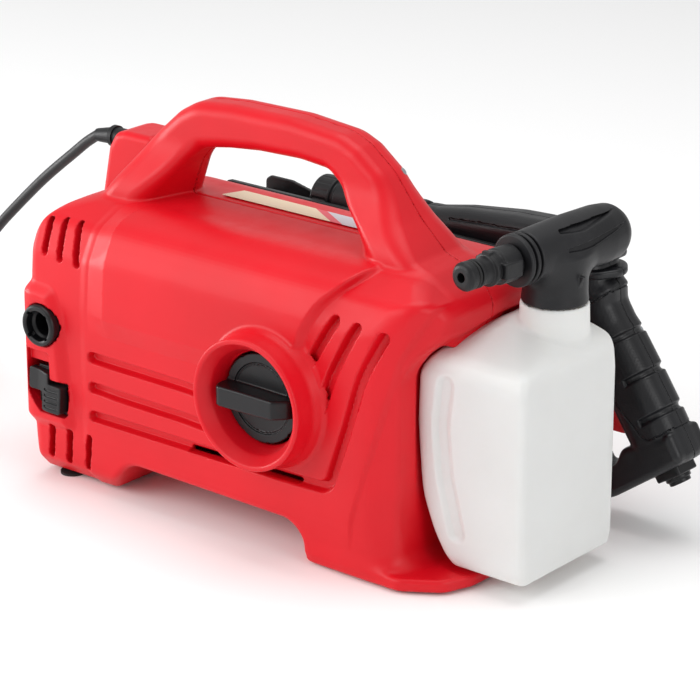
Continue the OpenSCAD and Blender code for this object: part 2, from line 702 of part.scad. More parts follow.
// Bayonet stem that plugs into the gun's lance socket
stem_r = 8.4;
stem_tip = -78;
module head_stem() color(black) placed() difference() {
    union() {
        head_lathe([[0, stem_tip], [7.4, stem_tip], [stem_r, stem_tip + 1], [stem_r, -71], [5.9, -71],
            [5.9, -68], [stem_r, -68], [stem_r, -58], [9.6, -58], [9.6, -55], [8.6, -55], [8.6, -50],
            [10.4, -50], [10.4, -38], [8, flange_front], [8, -23], [0, -23]]);
        at_head() for (s = [-1, 1]) translate([s > 0 ? 7 : -12, -54, -4.5]) cube([5, 14, 9]);
    }
    head_lathe([[0, stem_tip - 1], [2.8, stem_tip - 1], [2.8, -22], [0, -22]]);
}

module stem_seal() color(dark) placed() at_head() translate([0, -69.5, 0]) rotate([90, 0, 0])
    rotate_extrude() translate([7.15, 0]) circle(r = 1.2, $fn = 24);

module foam_insert() color(dark) placed() difference() {
    head_lathe([[0, 24], [9, 24], [9, 51], [0, 51]]);
    head_lathe([[0, 23], [2, 23], [2, 40], [7, 52], [0, 52]]);
}

// ---------- spray gun ----------
grip_w = 37;
base_len = 79;
strut_w = 14;
base_h = 16;
gun_barrel_z = 160;

gun_outline = [[20, 146], [92, 140], [103, 127], grip_at(-12, base_len), grip_at(grip_len - 6, base_len),
    grip_at(grip_len, base_len - 5), grip_at(grip_len, 0), grip_at(grip_len - 4, -4), grip_at(0, 0),
    grip_at(-12, -5), [159, 168], [130, 180], [100, 181], [60, 178], [36, 173], [20, 173]];
// Opening for the fingers, between the grip and the front strut
finger_gap = [grip_at(6, grip_w), grip_at(grip_len - base_h - 6, grip_w),
    grip_at(grip_len - base_h, grip_w + 6), grip_at(grip_len - base_h, base_len - strut_w - 6),
    grip_at(grip_len - base_h - 6, base_len - strut_w), grip_at(14, base_len - strut_w),
    grip_at(4, base_len - strut_w - 8)];

trigger_pivot = grip_at(2, 50);
trigger_half = 7;
module gun_shell() difference() {
    along_y(gun_y - gun_half, gun_y + gun_half) difference() {
        polygon(gun_outline);
        polygon(finger_gap);
    }
    // the hollow for the trigger's upper end, and the bores of the pin, barrel and inlet
    along_y(gun_y - trigger_half - 1, gun_y + trigger_half + 1) polygon([grip_at(-16, 26),
        grip_at(-16, 62), grip_at(16, 65.1), grip_at(grip_len - base_h - 1, 50),
        grip_at(grip_len - base_h - 1, 20), grip_at(40, 20)]);
    rod_y(gun_y - gun_half + 3, gun_y + gun_half - 3, trigger_pivot[0], trigger_pivot[1], 2.5);
    rod_x(19, 118, gun_y, gun_barrel_z, 8.05);
    translate([0, gun_y, 0]) at_base() translate([0, 0, -inlet_inside - 1]) cylinder(h = 40, r = 8.05);
    for (s = gun_screw_spots) {
        rod_y(gun_y - 12, gun_y + gun_half + 1, s[0], s[1], 1.5);
        rod_y(gun_y + gun_half - 4, gun_y + gun_half + 1, s[0], s[1], 3.2);
    }
}

gun_screw_spots = [grip_at(30, 10), grip_at(88, 10), grip_at(60, 72), [76, 176], [100, 150]];
// Frame at the middle of the grip's end, looking out of it
base_mid = grip_at(grip_len, 20);
module at_base() translate([base_mid[0], 0, base_mid[1]]) rotate([0, 180 - grip_lean, 0]) children();

module gun_near_shell() color(black) placed() intersection() {
    gun_shell();
    before_y(gun_y);
}

module gun_far_shell() color(black) placed() intersection() {
    gun_shell();
    behind_y(gun_y);
}

muzzle_x = -66;
lance_r = 8.6;
module gun_barrel() color(dark) placed() difference() {
    union() {
        rod_x(muzzle_x, 20, gun_y, gun_barrel_z, 13);
        rod_x(muzzle_x + 4, muzzle_x + 34, gun_y, gun_barrel_z, 14.5);
        rod_x(20, 84, gun_y, gun_barrel_z, 8);
    }
    rod_x(muzzle_x - 1, muzzle_x + 26, gun_y, gun_barrel_z, lance_r);
    rod_x(muzzle_x + 25, 85, gun_y, gun_barrel_z, 3.5);
}

module gun_valve() color(brass_tone) placed() difference() {
    rod_x(84, 114, gun_y, gun_barrel_z, 8);
    rod_x(83, 108, gun_y, gun_barrel_z, 3.5);
}

inlet_stub_r = 6.8;
// How far the inlet reaches into the grip: it stops short of the pulled trigger's lower end
inlet_inside = 18;
module gun_inlet() color(dark) placed() translate([0, gun_y, 0]) at_base() difference() {
    union() {
        translate([0, 0, -inlet_inside]) cylinder(h = inlet_inside + 4, r = 8);
        translate([0, 0, 4]) cylinder(h = 8, r = inlet_stub_r);
    }
    translate([0, 0, -inlet_inside - 1]) cylinder(h = 32, r = 3);
}

module gun_screws() color(steel) placed() for (s = gun_screw_spots) {
    rod_y(gun_y - 11, gun_y + gun_half - 4, s[0], s[1], 1.45);
    rod_y(gun_y + gun_half - 4, gun_y + gun_half - 1.5, s[0], s[1], 3);
}

trigger_outline = [grip_at(-2, 45), grip_at(-2, 54), grip_at(10, 57), grip_at(40, 50),
    grip_at(70, 47), grip_at(grip_len - base_h - 10, 49), grip_at(grip_len - base_h - 5, 44),
    grip_at(grip_len - base_h - 10, 37), grip_at(60, 36), grip_at(20, 40)];
module trigger() color("#c8141e") placed() difference() {
    along_y(gun_y - trigger_half, gun_y + trigger_half) polygon(trigger_outline);
    rod_y(gun_y - 10, gun_y + 10, trigger_pivot[0], trigger_pivot[1], 2.56);
    along_y(gun_y - 2.6, gun_y + 2.6) polygon([grip_at(44, 30), grip_at(44, 43), grip_at(76, 43), grip_at(76, 30)]);
    rod_y(gun_y - 5, gun_y + 5, lock_pivot[0], lock_pivot[1], 1.3);
}

module trigger_pin() color(steel) placed()
    rod_y(gun_y - gun_half + 3, gun_y + gun_half - 3, trigger_pivot[0], trigger_pivot[1], 2.5);

// Catch that swings out of the trigger and props it off the grip
lock_pivot = grip_at(70, 39.6);
module trigger_lock() color(black) placed() {
    rod_y(gun_y - 4.95, gun_y + 4.95, lock_pivot[0], lock_pivot[1], 1.25);
    along_y(gun_y - 2.3, gun_y + 2.3) polygon([grip_at(72, 38.2), grip_at(72, 41.2), grip_at(68, 42),
        grip_at(46, 41.2), grip_at(46, 38.4), grip_at(68, 37.4)]);
}

// ---------- mains cord ----------
relief_z = 198;
relief_drop = 98;
// Route of the cord's free stretch, from the strain relief down to the coil
cord_route = [[-184, 20, 196], [-194, 20, 189.5], [-206, 20, 180], [-220, 20, 169], [-234, 20, 157.5],
    [-248, 20, 145], [-262, 20, 132], [-276, 20, 118.5], [-289, 20, 104], [-300, 20, 89],
    [-309.5, 20, 73], [-318, 20, 57], [-326, 20, 41], [-335, 20, 26], [-346, 20, 14],
    [-360, 20, 6.5], [-376, 20, 3.8], [-392, 20, 3.5]];

// The coil is wound in layers that spiral out and in; its last turn leads to the plug
coil_outer_r = coil_inner_r + coil_turns * cord_d;
coil_mid = [-392, 20 - coil_outer_r];
coil_h = coil_layers * cord_d;
plug_y = coil_mid[1] - coil_outer_r;
plug_z = 18.5;
plug_back = -342;
plug_face = -292;
tail_route = [[-392, plug_y, coil_h - cord_d / 2], [-378, plug_y, 24], [-364, plug_y, 21.5],
    [-352, plug_y, 19.5], [plug_back, plug_y, plug_z]];

function unit(v) = v / norm(v);
function tangent(p, k) = unit(p[min(k + 1, len(p) - 1)] - p[max(k - 1, 0)]);
function side_of(t) = unit(cross(t, abs(t[2]) > 0.95 ? [0, 1, 0] : [0, 0, 1]));
// Catmull-Rom points between the route's own points
function between(p, k, t) = let (
    a = p[max(k - 1, 0)], b = p[k], c = p[k + 1], d = p[min(k + 2, len(p) - 1)])
    0.5 * (2 * b + (c - a) * t + (2 * a - 5 * b + 4 * c - d) * t * t + (3 * b - a - 3 * c + d) * t * t * t);
function smooth_route(p, n) = concat(
    [for (k = [0 : len(p) - 2]) for (j = [0 : n - 1]) between(p, k, j / n)], [p[len(p) - 1]]);

// Tube swept along points with a radius at each
module tube(points, radii, sides) {
    count = len(points);
    rings = [for (k = [0 : count - 1]) let (t = tangent(points, k), u = side_of(t), v = cross(u, t))
        for (j = [0 : sides - 1]) points[k] + radii[k] * (cos(360 * j / sides) * u + sin(360 * j / sides) * v)];
    skin = [for (k = [0 : count - 2]) for (j = [0 : sides - 1]) let (n = (j + 1) % sides)
        [k * sides + j, k * sides + n, (k + 1) * sides + n, (k + 1) * sides + j]];
    polyhedron(rings, concat(skin, [[for (j = [sides - 1 : -1 : 0]) j]],
        [[for (j = [0 : sides - 1]) (count - 1) * sides + j]]));
}

module strain_relief() color(black) placed() {
    rod_x(-167, -152, hood_y, relief_z, 6);
    rod_x(-152, -149, hood_y, relief_z, 7);
    rod_x(-170, -167, hood_y, relief_z, 7);
    translate([-170, hood_y, relief_z]) rotate([0, -relief_drop, 0]) cylinder(h = 14, r1 = 5.6, r2 = 4.2);
}

module cord_tube(route) {
    path = smooth_route(route, 2);
    tube(path, [for (p = path) cord_d / 2], 10);
}

module power_cord() color(black) placed() {
    cord_tube(cord_route);
    cord_tube(tail_route);
}

module cord_coil() color(black) placed() translate([coil_mid[0], coil_mid[1], 0])
    rotate_extrude() translate([coil_inner_r - cord_d / 2, 0])
        square([coil_outer_r - coil_inner_r + cord_d, coil_h]);

tie_w = 14;
tie_t = 1.2;
module cord_tie() color(dark) placed() translate([coil_mid[0], coil_mid[1], 0]) rotate([0, 0, 180]) difference() {
    block(coil_inner_r - cord_d / 2 - tie_t, coil_outer_r + cord_d / 2 + tie_t,
        -tie_w / 2, tie_w / 2, 0, coil_h + tie_t);
    block(coil_inner_r - cord_d / 2 + 0.4, coil_outer_r + cord_d / 2 - 0.4,
        -tie_w / 2 - 1, tie_w / 2 + 1, tie_t, coil_h);
}

module at_plug() translate([plug_back, plug_y, plug_z]) rotate([0, 90, 0]) children();
plug_len = plug_face - plug_back;
module plug_body() color(black) placed() at_plug() difference() {
    rotate_extrude() polygon([[0, 0], [5, 0], [6.5, 16], [12, 20], [13, 32], [18.3, 34], [18.3, plug_len],
        [0, plug_len]]);
    for (s = [-1, 1]) translate([s * 18.4 - 3, -4, plug_len - 14]) cube([6, 8, 15]);
    for (s = [-1, 1]) translate([0, s * 9.5, plug_len - 8]) cylinder(h = 9, r = 2.4);
}

module plug_pins() color(steel) placed() at_plug() {
    for (s = [-1, 1]) translate([0, s * 9.5, plug_len - 8]) cylinder(h = 26, r = 2.4);
    for (s = [-1, 1]) translate([s * 16, -3, plug_len - 14]) cube([1, 6, 13]);
}

front_shell();
rear_shell();
shell_screws();
rubber_feet();
roof_label();
gun_cradle();
switch_knob();
switch_spindle();
switch_box();
outlet_coupler();
outlet_seal();
release_lever();
release_spring();
inlet_connector();
inlet_filter();
inlet_pipe();
outlet_pipe();
stop_switch();
capacitor();
motor_can();
field_winding();
motor_bearings();
carbon_brushes();
rotor_shaft();
rotor_core();
commutator();
cooling_fan();
drive_pinion();
gear_case();
drive_gear();
swash_plate();
pump_head();
valve_plugs();
piston_springs();
piston_1();
piston_2();
piston_3();
bottle();
siphon_tube();
foam_head();
head_stem();
stem_seal();
foam_insert();
gun_near_shell();
gun_far_shell();
gun_barrel();
gun_inlet();
gun_valve();
gun_screws();
trigger();
trigger_pin();
trigger_lock();
strain_relief();
power_cord();
cord_coil();
cord_tie();
plug_body();
plug_pins();
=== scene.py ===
"""Looks of a compact pressure washer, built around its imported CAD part.

Shapes that are moulded are written as distance fields: a function of x, y and z in millimetres that
gives the distance to the surface, below zero inside. They are meshed on a fine grid, moved onto the
exact surface and thinned. Lengths are in millimetres, about the middle of the casing's parting plane,
until a mesh is made; the meshes are in metres in the frame of the CAD part.
"""

import math

import bpy
import numpy as np
import openvdb
from mathutils import Matrix, Vector


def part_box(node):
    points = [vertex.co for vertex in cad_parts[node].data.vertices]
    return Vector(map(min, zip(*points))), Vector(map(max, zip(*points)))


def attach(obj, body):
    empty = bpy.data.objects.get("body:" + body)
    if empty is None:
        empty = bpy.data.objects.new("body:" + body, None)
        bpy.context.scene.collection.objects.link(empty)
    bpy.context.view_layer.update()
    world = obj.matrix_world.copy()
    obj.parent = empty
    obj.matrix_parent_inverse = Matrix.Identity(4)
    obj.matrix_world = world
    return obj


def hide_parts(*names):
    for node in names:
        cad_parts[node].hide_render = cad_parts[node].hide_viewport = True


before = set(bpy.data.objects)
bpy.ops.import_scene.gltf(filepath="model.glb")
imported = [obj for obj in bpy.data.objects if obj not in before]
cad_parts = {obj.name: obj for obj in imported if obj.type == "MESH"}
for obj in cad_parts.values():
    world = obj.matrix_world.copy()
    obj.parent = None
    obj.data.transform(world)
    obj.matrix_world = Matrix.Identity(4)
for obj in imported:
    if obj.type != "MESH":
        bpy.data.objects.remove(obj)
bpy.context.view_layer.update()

# ---------- where things are ----------
MM = 0.001


CASE_LEFT = -160.0
shell_low, shell_high = (np.array(c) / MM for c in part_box("front_shell"))
ORIGIN = np.array([shell_low[0] - CASE_LEFT, shell_high[1], 0.0])


def middle(node):
    """The middle of a CAD node's box, to a hundredth of a millimetre, about the parting plane."""
    low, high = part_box(node)
    return np.round((np.array(low) + np.array(high)) / (2 * MM) - ORIGIN, 2).tolist()


def placed(points):
    """Millimetres about the parting plane to metres in the frame of the CAD part."""
    return (np.asarray(points, float) + ORIGIN) * MM


def voxel(fine):
    return fine


KNOB_X, _, KNOB_Z = middle("switch_knob")
OUTLET_X, _, OUTLET_Z = middle("outlet_coupler")
_, INLET_Y, INLET_Z = middle("inlet_connector")
_, HOOD_Y, HOOD_Z = middle("strain_relief")
NECK_X, NECK_Y, _ = middle("siphon_tube")
HEAD_Z = middle("head_stem")[2]
HEAD_TURN = math.radians(-6.3)
_, GUN_Y, BARREL_Z = middle("gun_barrel")
FRONT_Y = -75.0
REAR_Y = 75.0


# ---------- camera ----------
CAMERA_AZIMUTH = math.radians(39.5)
CAMERA_ELEVATION = math.radians(20)
CAMERA_DISTANCE = 1913.6
AIM_RIGHT, AIM_UP = 30.9, 92.6
LENS = 159.43


def aim_camera():
    """A long lens from the front and right, looking down a little."""
    right = np.array([math.cos(CAMERA_AZIMUTH), math.sin(CAMERA_AZIMUTH), 0])
    level = math.cos(CAMERA_ELEVATION)
    back = np.array([level * right[1], -level * right[0], math.sin(CAMERA_ELEVATION)])
    up = np.cross(back, right)
    data = bpy.data.cameras.new("camera")
    data.sensor_width = 36
    data.lens = LENS
    camera = bpy.data.objects.new("camera", data)
    bpy.context.scene.collection.objects.link(camera)
    spot = placed(AIM_RIGHT * right + AIM_UP * up + CAMERA_DISTANCE * back)
    camera.matrix_world = Matrix([*zip(right, up, back, spot), (0, 0, 0, 1)])
    bpy.context.scene.camera = camera


aim_camera()


# ---------- materials ----------
def new_material(name):
    material = bpy.data.materials.new(name)
    material.use_nodes = True
    tree = material.node_tree
    return material, tree, tree.nodes["Principled BSDF"]


def add(tree, kind, **values):
    """A new shader node, each value set on its socket of that name or else as its setting."""
    node = tree.nodes.new(kind)
    for key, value in values.items():
        if key in node.inputs:
            node.inputs[key].default_value = value
        else:
            setattr(node, key, value)
    return node


def srgb(r, g, b):
    """A screen colour of 0 to 255 as linear light, with full alpha."""
    linear = [((c / 255 + 0.055) / 1.055) ** 2.4 if c > 10 else c / 255 / 12.92 for c in (r, g, b)]
    return (*linear, 1.0)


def moulded(name, colour, shade, rough=0.42, grain=900, grain_depth=0.05, metal=0.0, specular=0.5,
            sub=0.0, dust=0.0):
    """Moulded plastic, rubber or cast metal: even colour with slow drift, a fine grain and faint waves."""
    material, tree, shader = new_material(name)
    coords = add(tree, "ShaderNodeTexCoord")
    link = tree.links.new
    drift = add(tree, "ShaderNodeTexNoise", Scale=14.0, Detail=3.0)
    fine = add(tree, "ShaderNodeTexNoise", Scale=float(grain), Detail=2.0)
    slow = add(tree, "ShaderNodeTexNoise", Scale=18.0, Detail=1.0)
    scuff = add(tree, "ShaderNodeTexNoise", Scale=70.0, Detail=6.0, Roughness=0.7)
    for node in (drift, fine, slow, scuff):
        link(coords.outputs["Object"], node.inputs["Vector"])
    tint = add(tree, "ShaderNodeMix", data_type="RGBA", A=colour, B=shade)
    spread = add(tree, "ShaderNodeMapRange", **{"From Min": 0.38, "From Max": 0.72})
    link(drift.outputs["Fac"], spread.inputs["Value"])
    link(spread.outputs["Result"], tint.inputs["Factor"])
    top = tint
    if dust:
        pale = tuple(0.6 * c + 0.22 for c in colour[:3]) + (1.0,)
        top = add(tree, "ShaderNodeMix", data_type="RGBA", B=pale)
        mask = add(tree, "ShaderNodeMapRange", **{"From Min": 0.56, "From Max": 0.74, "To Max": dust})
        link(scuff.outputs["Fac"], mask.inputs["Value"])
        link(mask.outputs["Result"], top.inputs["Factor"])
        link(tint.outputs["Result"], top.inputs["A"])
    link(top.outputs["Result"], shader.inputs["Base Color"])
    limits = {"From Min": 0.3, "From Max": 0.7, "To Min": rough - 0.05, "To Max": rough + 0.08}
    gloss = add(tree, "ShaderNodeMapRange", **limits)
    link(scuff.outputs["Fac"], gloss.inputs["Value"])
    link(gloss.outputs["Result"], shader.inputs["Roughness"])
    first = add(tree, "ShaderNodeBump", Strength=1.0, Distance=0.02 * MM)
    second = add(tree, "ShaderNodeBump", Strength=1.0, Distance=grain_depth * MM)
    link(slow.outputs["Fac"], first.inputs["Height"])
    link(fine.outputs["Fac"], second.inputs["Height"])
    link(first.outputs["Normal"], second.inputs["Normal"])
    link(second.outputs["Normal"], shader.inputs["Normal"])
    shader.inputs["Metallic"].default_value = metal
    shader.inputs["Specular IOR Level"].default_value = specular
    if sub:
        shader.inputs["Subsurface Weight"].default_value = sub
        shader.inputs["Subsurface Radius"].default_value = (1.0, 0.8, 0.7)
        shader.inputs["Subsurface Scale"].default_value = 0.006
    return material


def give(node_name, material):
    """A CAD node that keeps its shape gets this material."""
    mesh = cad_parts[node_name].data
    mesh.materials.clear()
    mesh.materials.append(material)


RED = moulded("red_abs", srgb(212, 10, 28), srgb(202, 8, 24),
              rough=0.38, grain=1400, grain_depth=0.02, specular=0.32)
BLACK = moulded("black_satin", srgb(17, 17, 19), srgb(24, 24, 27),
                rough=0.42, grain=1100, grain_depth=0.05, dust=0.03, specular=0.35)
SMOOTH_BLACK = moulded("black_smooth", srgb(14, 14, 16), srgb(20, 20, 23),
                       rough=0.32, grain=1600, grain_depth=0.01, specular=0.35)
RUBBER = moulded("rubber_black", srgb(14, 14, 15), srgb(24, 24, 24), rough=0.7, grain=800, grain_depth=0.08)
CORD_PVC = moulded("cord_pvc", srgb(14, 14, 16), srgb(22, 22, 24), rough=0.45, grain=900, grain_depth=0.04)
TRIGGER_RED = moulded("trigger_abs", srgb(205, 20, 30), srgb(190, 16, 26), rough=0.34)
STEEL = moulded("steel_bright", srgb(176, 180, 184), srgb(160, 164, 170),
                rough=0.28, metal=1.0, grain=600, grain_depth=0.03)
CAST = moulded("cast_alloy", srgb(150, 153, 158), srgb(135, 138, 143),
               rough=0.5, metal=1.0, grain=500, grain_depth=0.12)
IRON = moulded("motor_lamination", srgb(92, 94, 98), srgb(74, 76, 80),
               rough=0.45, metal=1.0, grain=700, grain_depth=0.06)
BRASS = moulded("brass_turned", srgb(201, 162, 88), srgb(188, 146, 74),
                rough=0.3, metal=1.0, grain=500, grain_depth=0.03)
COPPER = moulded("copper_wound", srgb(184, 104, 58), srgb(160, 84, 44),
                 rough=0.35, metal=1.0, grain=260, grain_depth=0.35)
NYLON = moulded("nylon_natural", srgb(226, 222, 212), srgb(214, 209, 198), rough=0.45, sub=0.15)
INNER = moulded("inner_plastic_grey", srgb(62, 63, 68), srgb(52, 53, 58), rough=0.5)

NODE_MATERIALS = {
    STEEL: ["shell_screws", "switch_spindle", "release_spring", "outlet_pipe", "rotor_shaft", "drive_pinion",
            "piston_springs", "piston_1", "piston_2", "piston_3", "gun_screws", "trigger_pin", "plug_pins",
            "motor_bearings", "swash_plate"],
    RUBBER: ["rubber_feet", "outlet_seal", "stem_seal"],
    BRASS: ["inlet_connector", "valve_plugs", "gun_valve"],
    COPPER: ["field_winding", "commutator"],
    IRON: ["motor_can", "rotor_core"],
    CAST: ["pump_head", "gear_case"],
    NYLON: ["inlet_filter", "siphon_tube", "cooling_fan", "drive_gear"],
    INNER: ["switch_box", "inlet_pipe", "stop_switch", "capacitor", "carbon_brushes", "foam_insert"],
}
for material, node_names in NODE_MATERIALS.items():
    for node_name in node_names:
        give(node_name, material)


# ---------- mains cord ----------
CORD_D = 7.0
CORD_ROUTE = [(-184, 20, 196), (-194, 20, 189.5), (-206, 20, 180), (-220, 20, 169), (-234, 20, 157.5),
              (-248, 20, 145), (-262, 20, 132), (-276, 20, 118.5), (-289, 20, 104), (-300, 20, 89),
              (-309.5, 20, 73), (-318, 20, 57), (-326, 20, 41), (-335, 20, 26), (-346, 20, 14),
              (-360, 20, 6.5), (-376, 20, 3.8), (-392, 20, 3.5)]
COIL_INNER_R = 30.0
COIL_TURNS = 4.125
COIL_LAYERS = 4
COIL_OUTER_R = COIL_INNER_R + COIL_TURNS * CORD_D
COIL_MID = (-392.0, 20 - COIL_OUTER_R)
PLUG_Y = COIL_MID[1] - COIL_OUTER_R
TAIL_ROUTE = [(-378, PLUG_Y, 24), (-364, PLUG_Y, 21.5), (-352, PLUG_Y, 19.5), (-342, PLUG_Y, 18.5)]
COIL_STEPS = 40
CLIMB = 0.05
ROUTE_STEPS = 3


def smooth_route(points, steps):
    """Catmull-Rom points between the given ones."""
    p = np.array(points, float)
    out = []
    for k in range(len(p) - 1):
        a, b, c, d = p[max(k - 1, 0)], p[k], p[k + 1], p[min(k + 2, len(p) - 1)]
        for t in np.arange(steps) / steps:
            out.append(0.5 * (2 * b + (c - a) * t + (2 * a - 5 * b + 4 * c - d) * t**2
                              + (3 * b - a - 3 * c + d) * t**3))
    return out + [p[-1]]


def coil_points():
    """One winding: each layer spirals in or out, and climbs to the next over its last fifth of a turn."""
    points = []
    angle = 90.0
    for layer in range(COIL_LAYERS):
        count = int(COIL_TURNS * COIL_STEPS)
        for k in range(count + (layer == COIL_LAYERS - 1)):
            t = k / count
            inward = t if layer % 2 == 0 else 1 - t
            r = COIL_OUTER_R - inward * (COIL_OUTER_R - COIL_INNER_R)
            turn = math.radians(angle + 360 * COIL_TURNS * t)
            lift = max(0.0, (t - 1 + CLIMB) / CLIMB) if layer < COIL_LAYERS - 1 else 0.0
            z = CORD_D * (layer + 0.5 + lift)
            points.append((COIL_MID[0] + r * math.cos(turn), COIL_MID[1] + r * math.sin(turn), z))
        angle += 360 * COIL_TURNS
    return points


def make_cord():
    """The cord from its hood to the plug, with the point where it leaves the hood and its length."""
    path = smooth_route(CORD_ROUTE, ROUTE_STEPS)[:-1] + coil_points()
    path += smooth_route([path[-1]] + TAIL_ROUTE, ROUTE_STEPS)[1:]
    path = placed(path)
    data = bpy.data.curves.new("mains_cord", "CURVE")
    data.dimensions = "3D"
    data.bevel_depth = CORD_D / 2 * MM
    data.bevel_resolution = 3
    data.use_fill_caps = True
    spline = data.splines.new("POLY")
    spline.points.add(len(path) - 1)
    spline.points.foreach_set("co", np.column_stack([path, np.ones(len(path))]).ravel())
    spline.use_smooth = True
    cord = bpy.data.objects.new("mains_cord", data)
    bpy.context.scene.collection.objects.link(cord)
    data.materials.append(CORD_PVC)
    length = float(np.linalg.norm(np.diff(path, axis=0), axis=1).sum())
    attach(cord, "washer")
    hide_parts("power_cord", "cord_coil")
    return cord, tuple(path[0]), length


cord, cord_exit, cord_length = make_cord()


# ---------- distance fields ----------
def ramp(value, start, end):
    """0 up to start, 1 from end, with a smooth slope between."""
    t = np.clip((value - start) / (end - start), 0, 1)
    return t * t * (3 - 2 * t)


def unite(a, b, r):
    """Both shapes, with a fillet of radius r in the corner between them."""
    return np.maximum(r, np.minimum(a, b)) - np.hypot(np.maximum(r - a, 0), np.maximum(r - b, 0))


def overlap(a, b, r):
    """Where the shapes overlap, with an edge rounded to radius r."""
    return np.minimum(-r, np.maximum(a, b)) + np.hypot(np.maximum(r + a, 0), np.maximum(r + b, 0))


def cut(a, b, r):
    """The first shape without the second, with an edge rounded to radius r."""
    return overlap(a, -b, r)


def slab(value, low, high):
    """Between two planes."""
    return np.maximum(low - value, value - high)


def filleted(corners, closed=True):
    """Corner points (u, v) or (u, v, radius) as a fine outline with its corners rounded."""
    points = [np.array(c[:2], float) for c in corners]
    radii = [c[2] if len(c) > 2 else 0.0 for c in corners]
    out = []
    for k, (p, r) in enumerate(zip(points, radii)):
        if r == 0 or (not closed and k in (0, len(points) - 1)):
            out.append(p)
            continue
        before, after = points[k - 1] - p, points[(k + 1) % len(points)] - p
        la, lb = np.linalg.norm(before), np.linalg.norm(after)
        a, b = before / la, after / lb
        half = 0.5 * math.acos(float(np.clip(a @ b, -0.9999, 0.9999)))
        reach = min(r / math.tan(half), 0.48 * la, 0.48 * lb)
        r = reach * math.tan(half)
        middle = p + (a + b) / np.linalg.norm(a + b) * r / math.sin(half)
        start, end = p + a * reach - middle, p + b * reach - middle
        swing = math.atan2(start[0] * end[1] - start[1] * end[0], float(start @ end))
        for t in np.linspace(0, 1, 7):
            c, s = math.cos(swing * t), math.sin(swing * t)
            out.append(middle + np.array([c * start[0] - s * start[1], s * start[0] + c * start[1]]))
    return np.array(out)


class Drawn:
    """Distance to a drawn outline, or to a line of the given half width, kept on a fine grid."""

    def __init__(self, corners, half=None, step=0.5, margin=16.0):
        closed = half is None
        points = filleted(corners, closed)
        self.low = points.min(0) - margin
        count = np.ceil((points.max(0) + margin - self.low) / step).astype(int) + 1
        self.step = step
        ticks = [low + step * np.arange(number) for low, number in zip(self.low, count)]
        u, v = np.meshgrid(*ticks, indexing="ij")
        nearest = np.full(u.shape, 1e9)
        inside = np.zeros(u.shape, bool)
        ends = np.roll(points, -1, 0) if closed else points[1:]
        for a, b in zip(points, ends):
            e = b - a
            if e @ e == 0:
                continue
            t = np.clip(((u - a[0]) * e[0] + (v - a[1]) * e[1]) / (e @ e), 0, 1)
            nearest = np.minimum(nearest, (u - a[0] - t * e[0]) ** 2 + (v - a[1] - t * e[1]) ** 2)
            if a[1] != b[1]:
                crosses = (a[1] > v) != (b[1] > v)
                inside ^= crosses & (u < a[0] + (v - a[1]) * e[0] / e[1])
        distance = np.sqrt(nearest)
        self.grid = (np.where(inside, -distance, distance) if closed else distance - half).astype(np.float32)

    def __call__(self, u, v):
        grid = self.grid
        a = np.clip((u - self.low[0]) / self.step, 0, grid.shape[0] - 1.001)
        b = np.clip((v - self.low[1]) / self.step, 0, grid.shape[1] - 1.001)
        i, j = a.astype(np.int32), b.astype(np.int32)
        a, b = a - i, b - j
        return ((grid[i, j] * (1 - a) + grid[i + 1, j] * a) * (1 - b)
                + (grid[i, j + 1] * (1 - a) + grid[i + 1, j + 1] * a) * b)


def box_field(x, y, z, low, high, r=0.5):
    """Distance to a box with rounded edges."""
    sides = [np.abs(v - (a + b) / 2) - ((b - a) / 2 - r) for v, a, b in zip((x, y, z), low, high)]
    outside = np.sqrt(sum(np.maximum(s, 0) ** 2 for s in sides))
    return outside + np.minimum(np.maximum(np.maximum(sides[0], sides[1]), sides[2]), 0) - r


# ---------- from field to mesh ----------
TETRA = np.array([(1, 1, 1), (1, -1, -1), (-1, 1, -1), (-1, -1, 1)], float)
BLOCK = 8
BLOCKS_AT_ONCE = 400
FAR = 10.0


def slope(field, p, h=0.15):
    """The field and its gradient at points p."""
    values = [field(*(p + h * t).T) for t in TETRA]
    return sum(values) / 4, sum(v[:, None] * t for v, t in zip(values, TETRA)) / (4 * h)


def sampled(field, low, high, step):
    """The field on a grid, worked out only in the blocks that the surface may pass through."""
    low = np.array(low, float)
    width = step * BLOCK
    blocks = np.ceil((np.array(high) - low) / width).astype(int) + 1
    centres = [low[k] + width * (np.arange(blocks[k]) + 0.5) for k in range(3)]
    x, y, z = (c.ravel() for c in np.meshgrid(*centres, indexing="ij"))
    coarse = field(x, y, z).reshape(blocks)
    near = np.abs(coarse) < width * 1.25
    far = np.where(coarse < 0, -FAR, FAR).astype(np.float32)
    full = np.repeat(np.repeat(np.repeat(far, BLOCK, 0), BLOCK, 1), BLOCK, 2)
    view = full.reshape(blocks[0], BLOCK, blocks[1], BLOCK, blocks[2], BLOCK)
    corner = np.argwhere(near)
    offsets = step * np.arange(BLOCK)
    for part in np.array_split(corner, max(1, len(corner) // BLOCKS_AT_ONCE)):
        i, j, k = part.T
        base = low + width * part
        x = (base[:, 0, None] + offsets)[:, :, None, None]
        y = (base[:, 1, None] + offsets)[:, None, :, None]
        z = (base[:, 2, None] + offsets)[:, None, None, :]
        shape = (len(part), BLOCK, BLOCK, BLOCK)
        values = field(*(np.broadcast_to(v, shape).ravel() for v in (x, y, z))).reshape(shape)
        view[i, :, j, :, k, :] = values
    return full, low


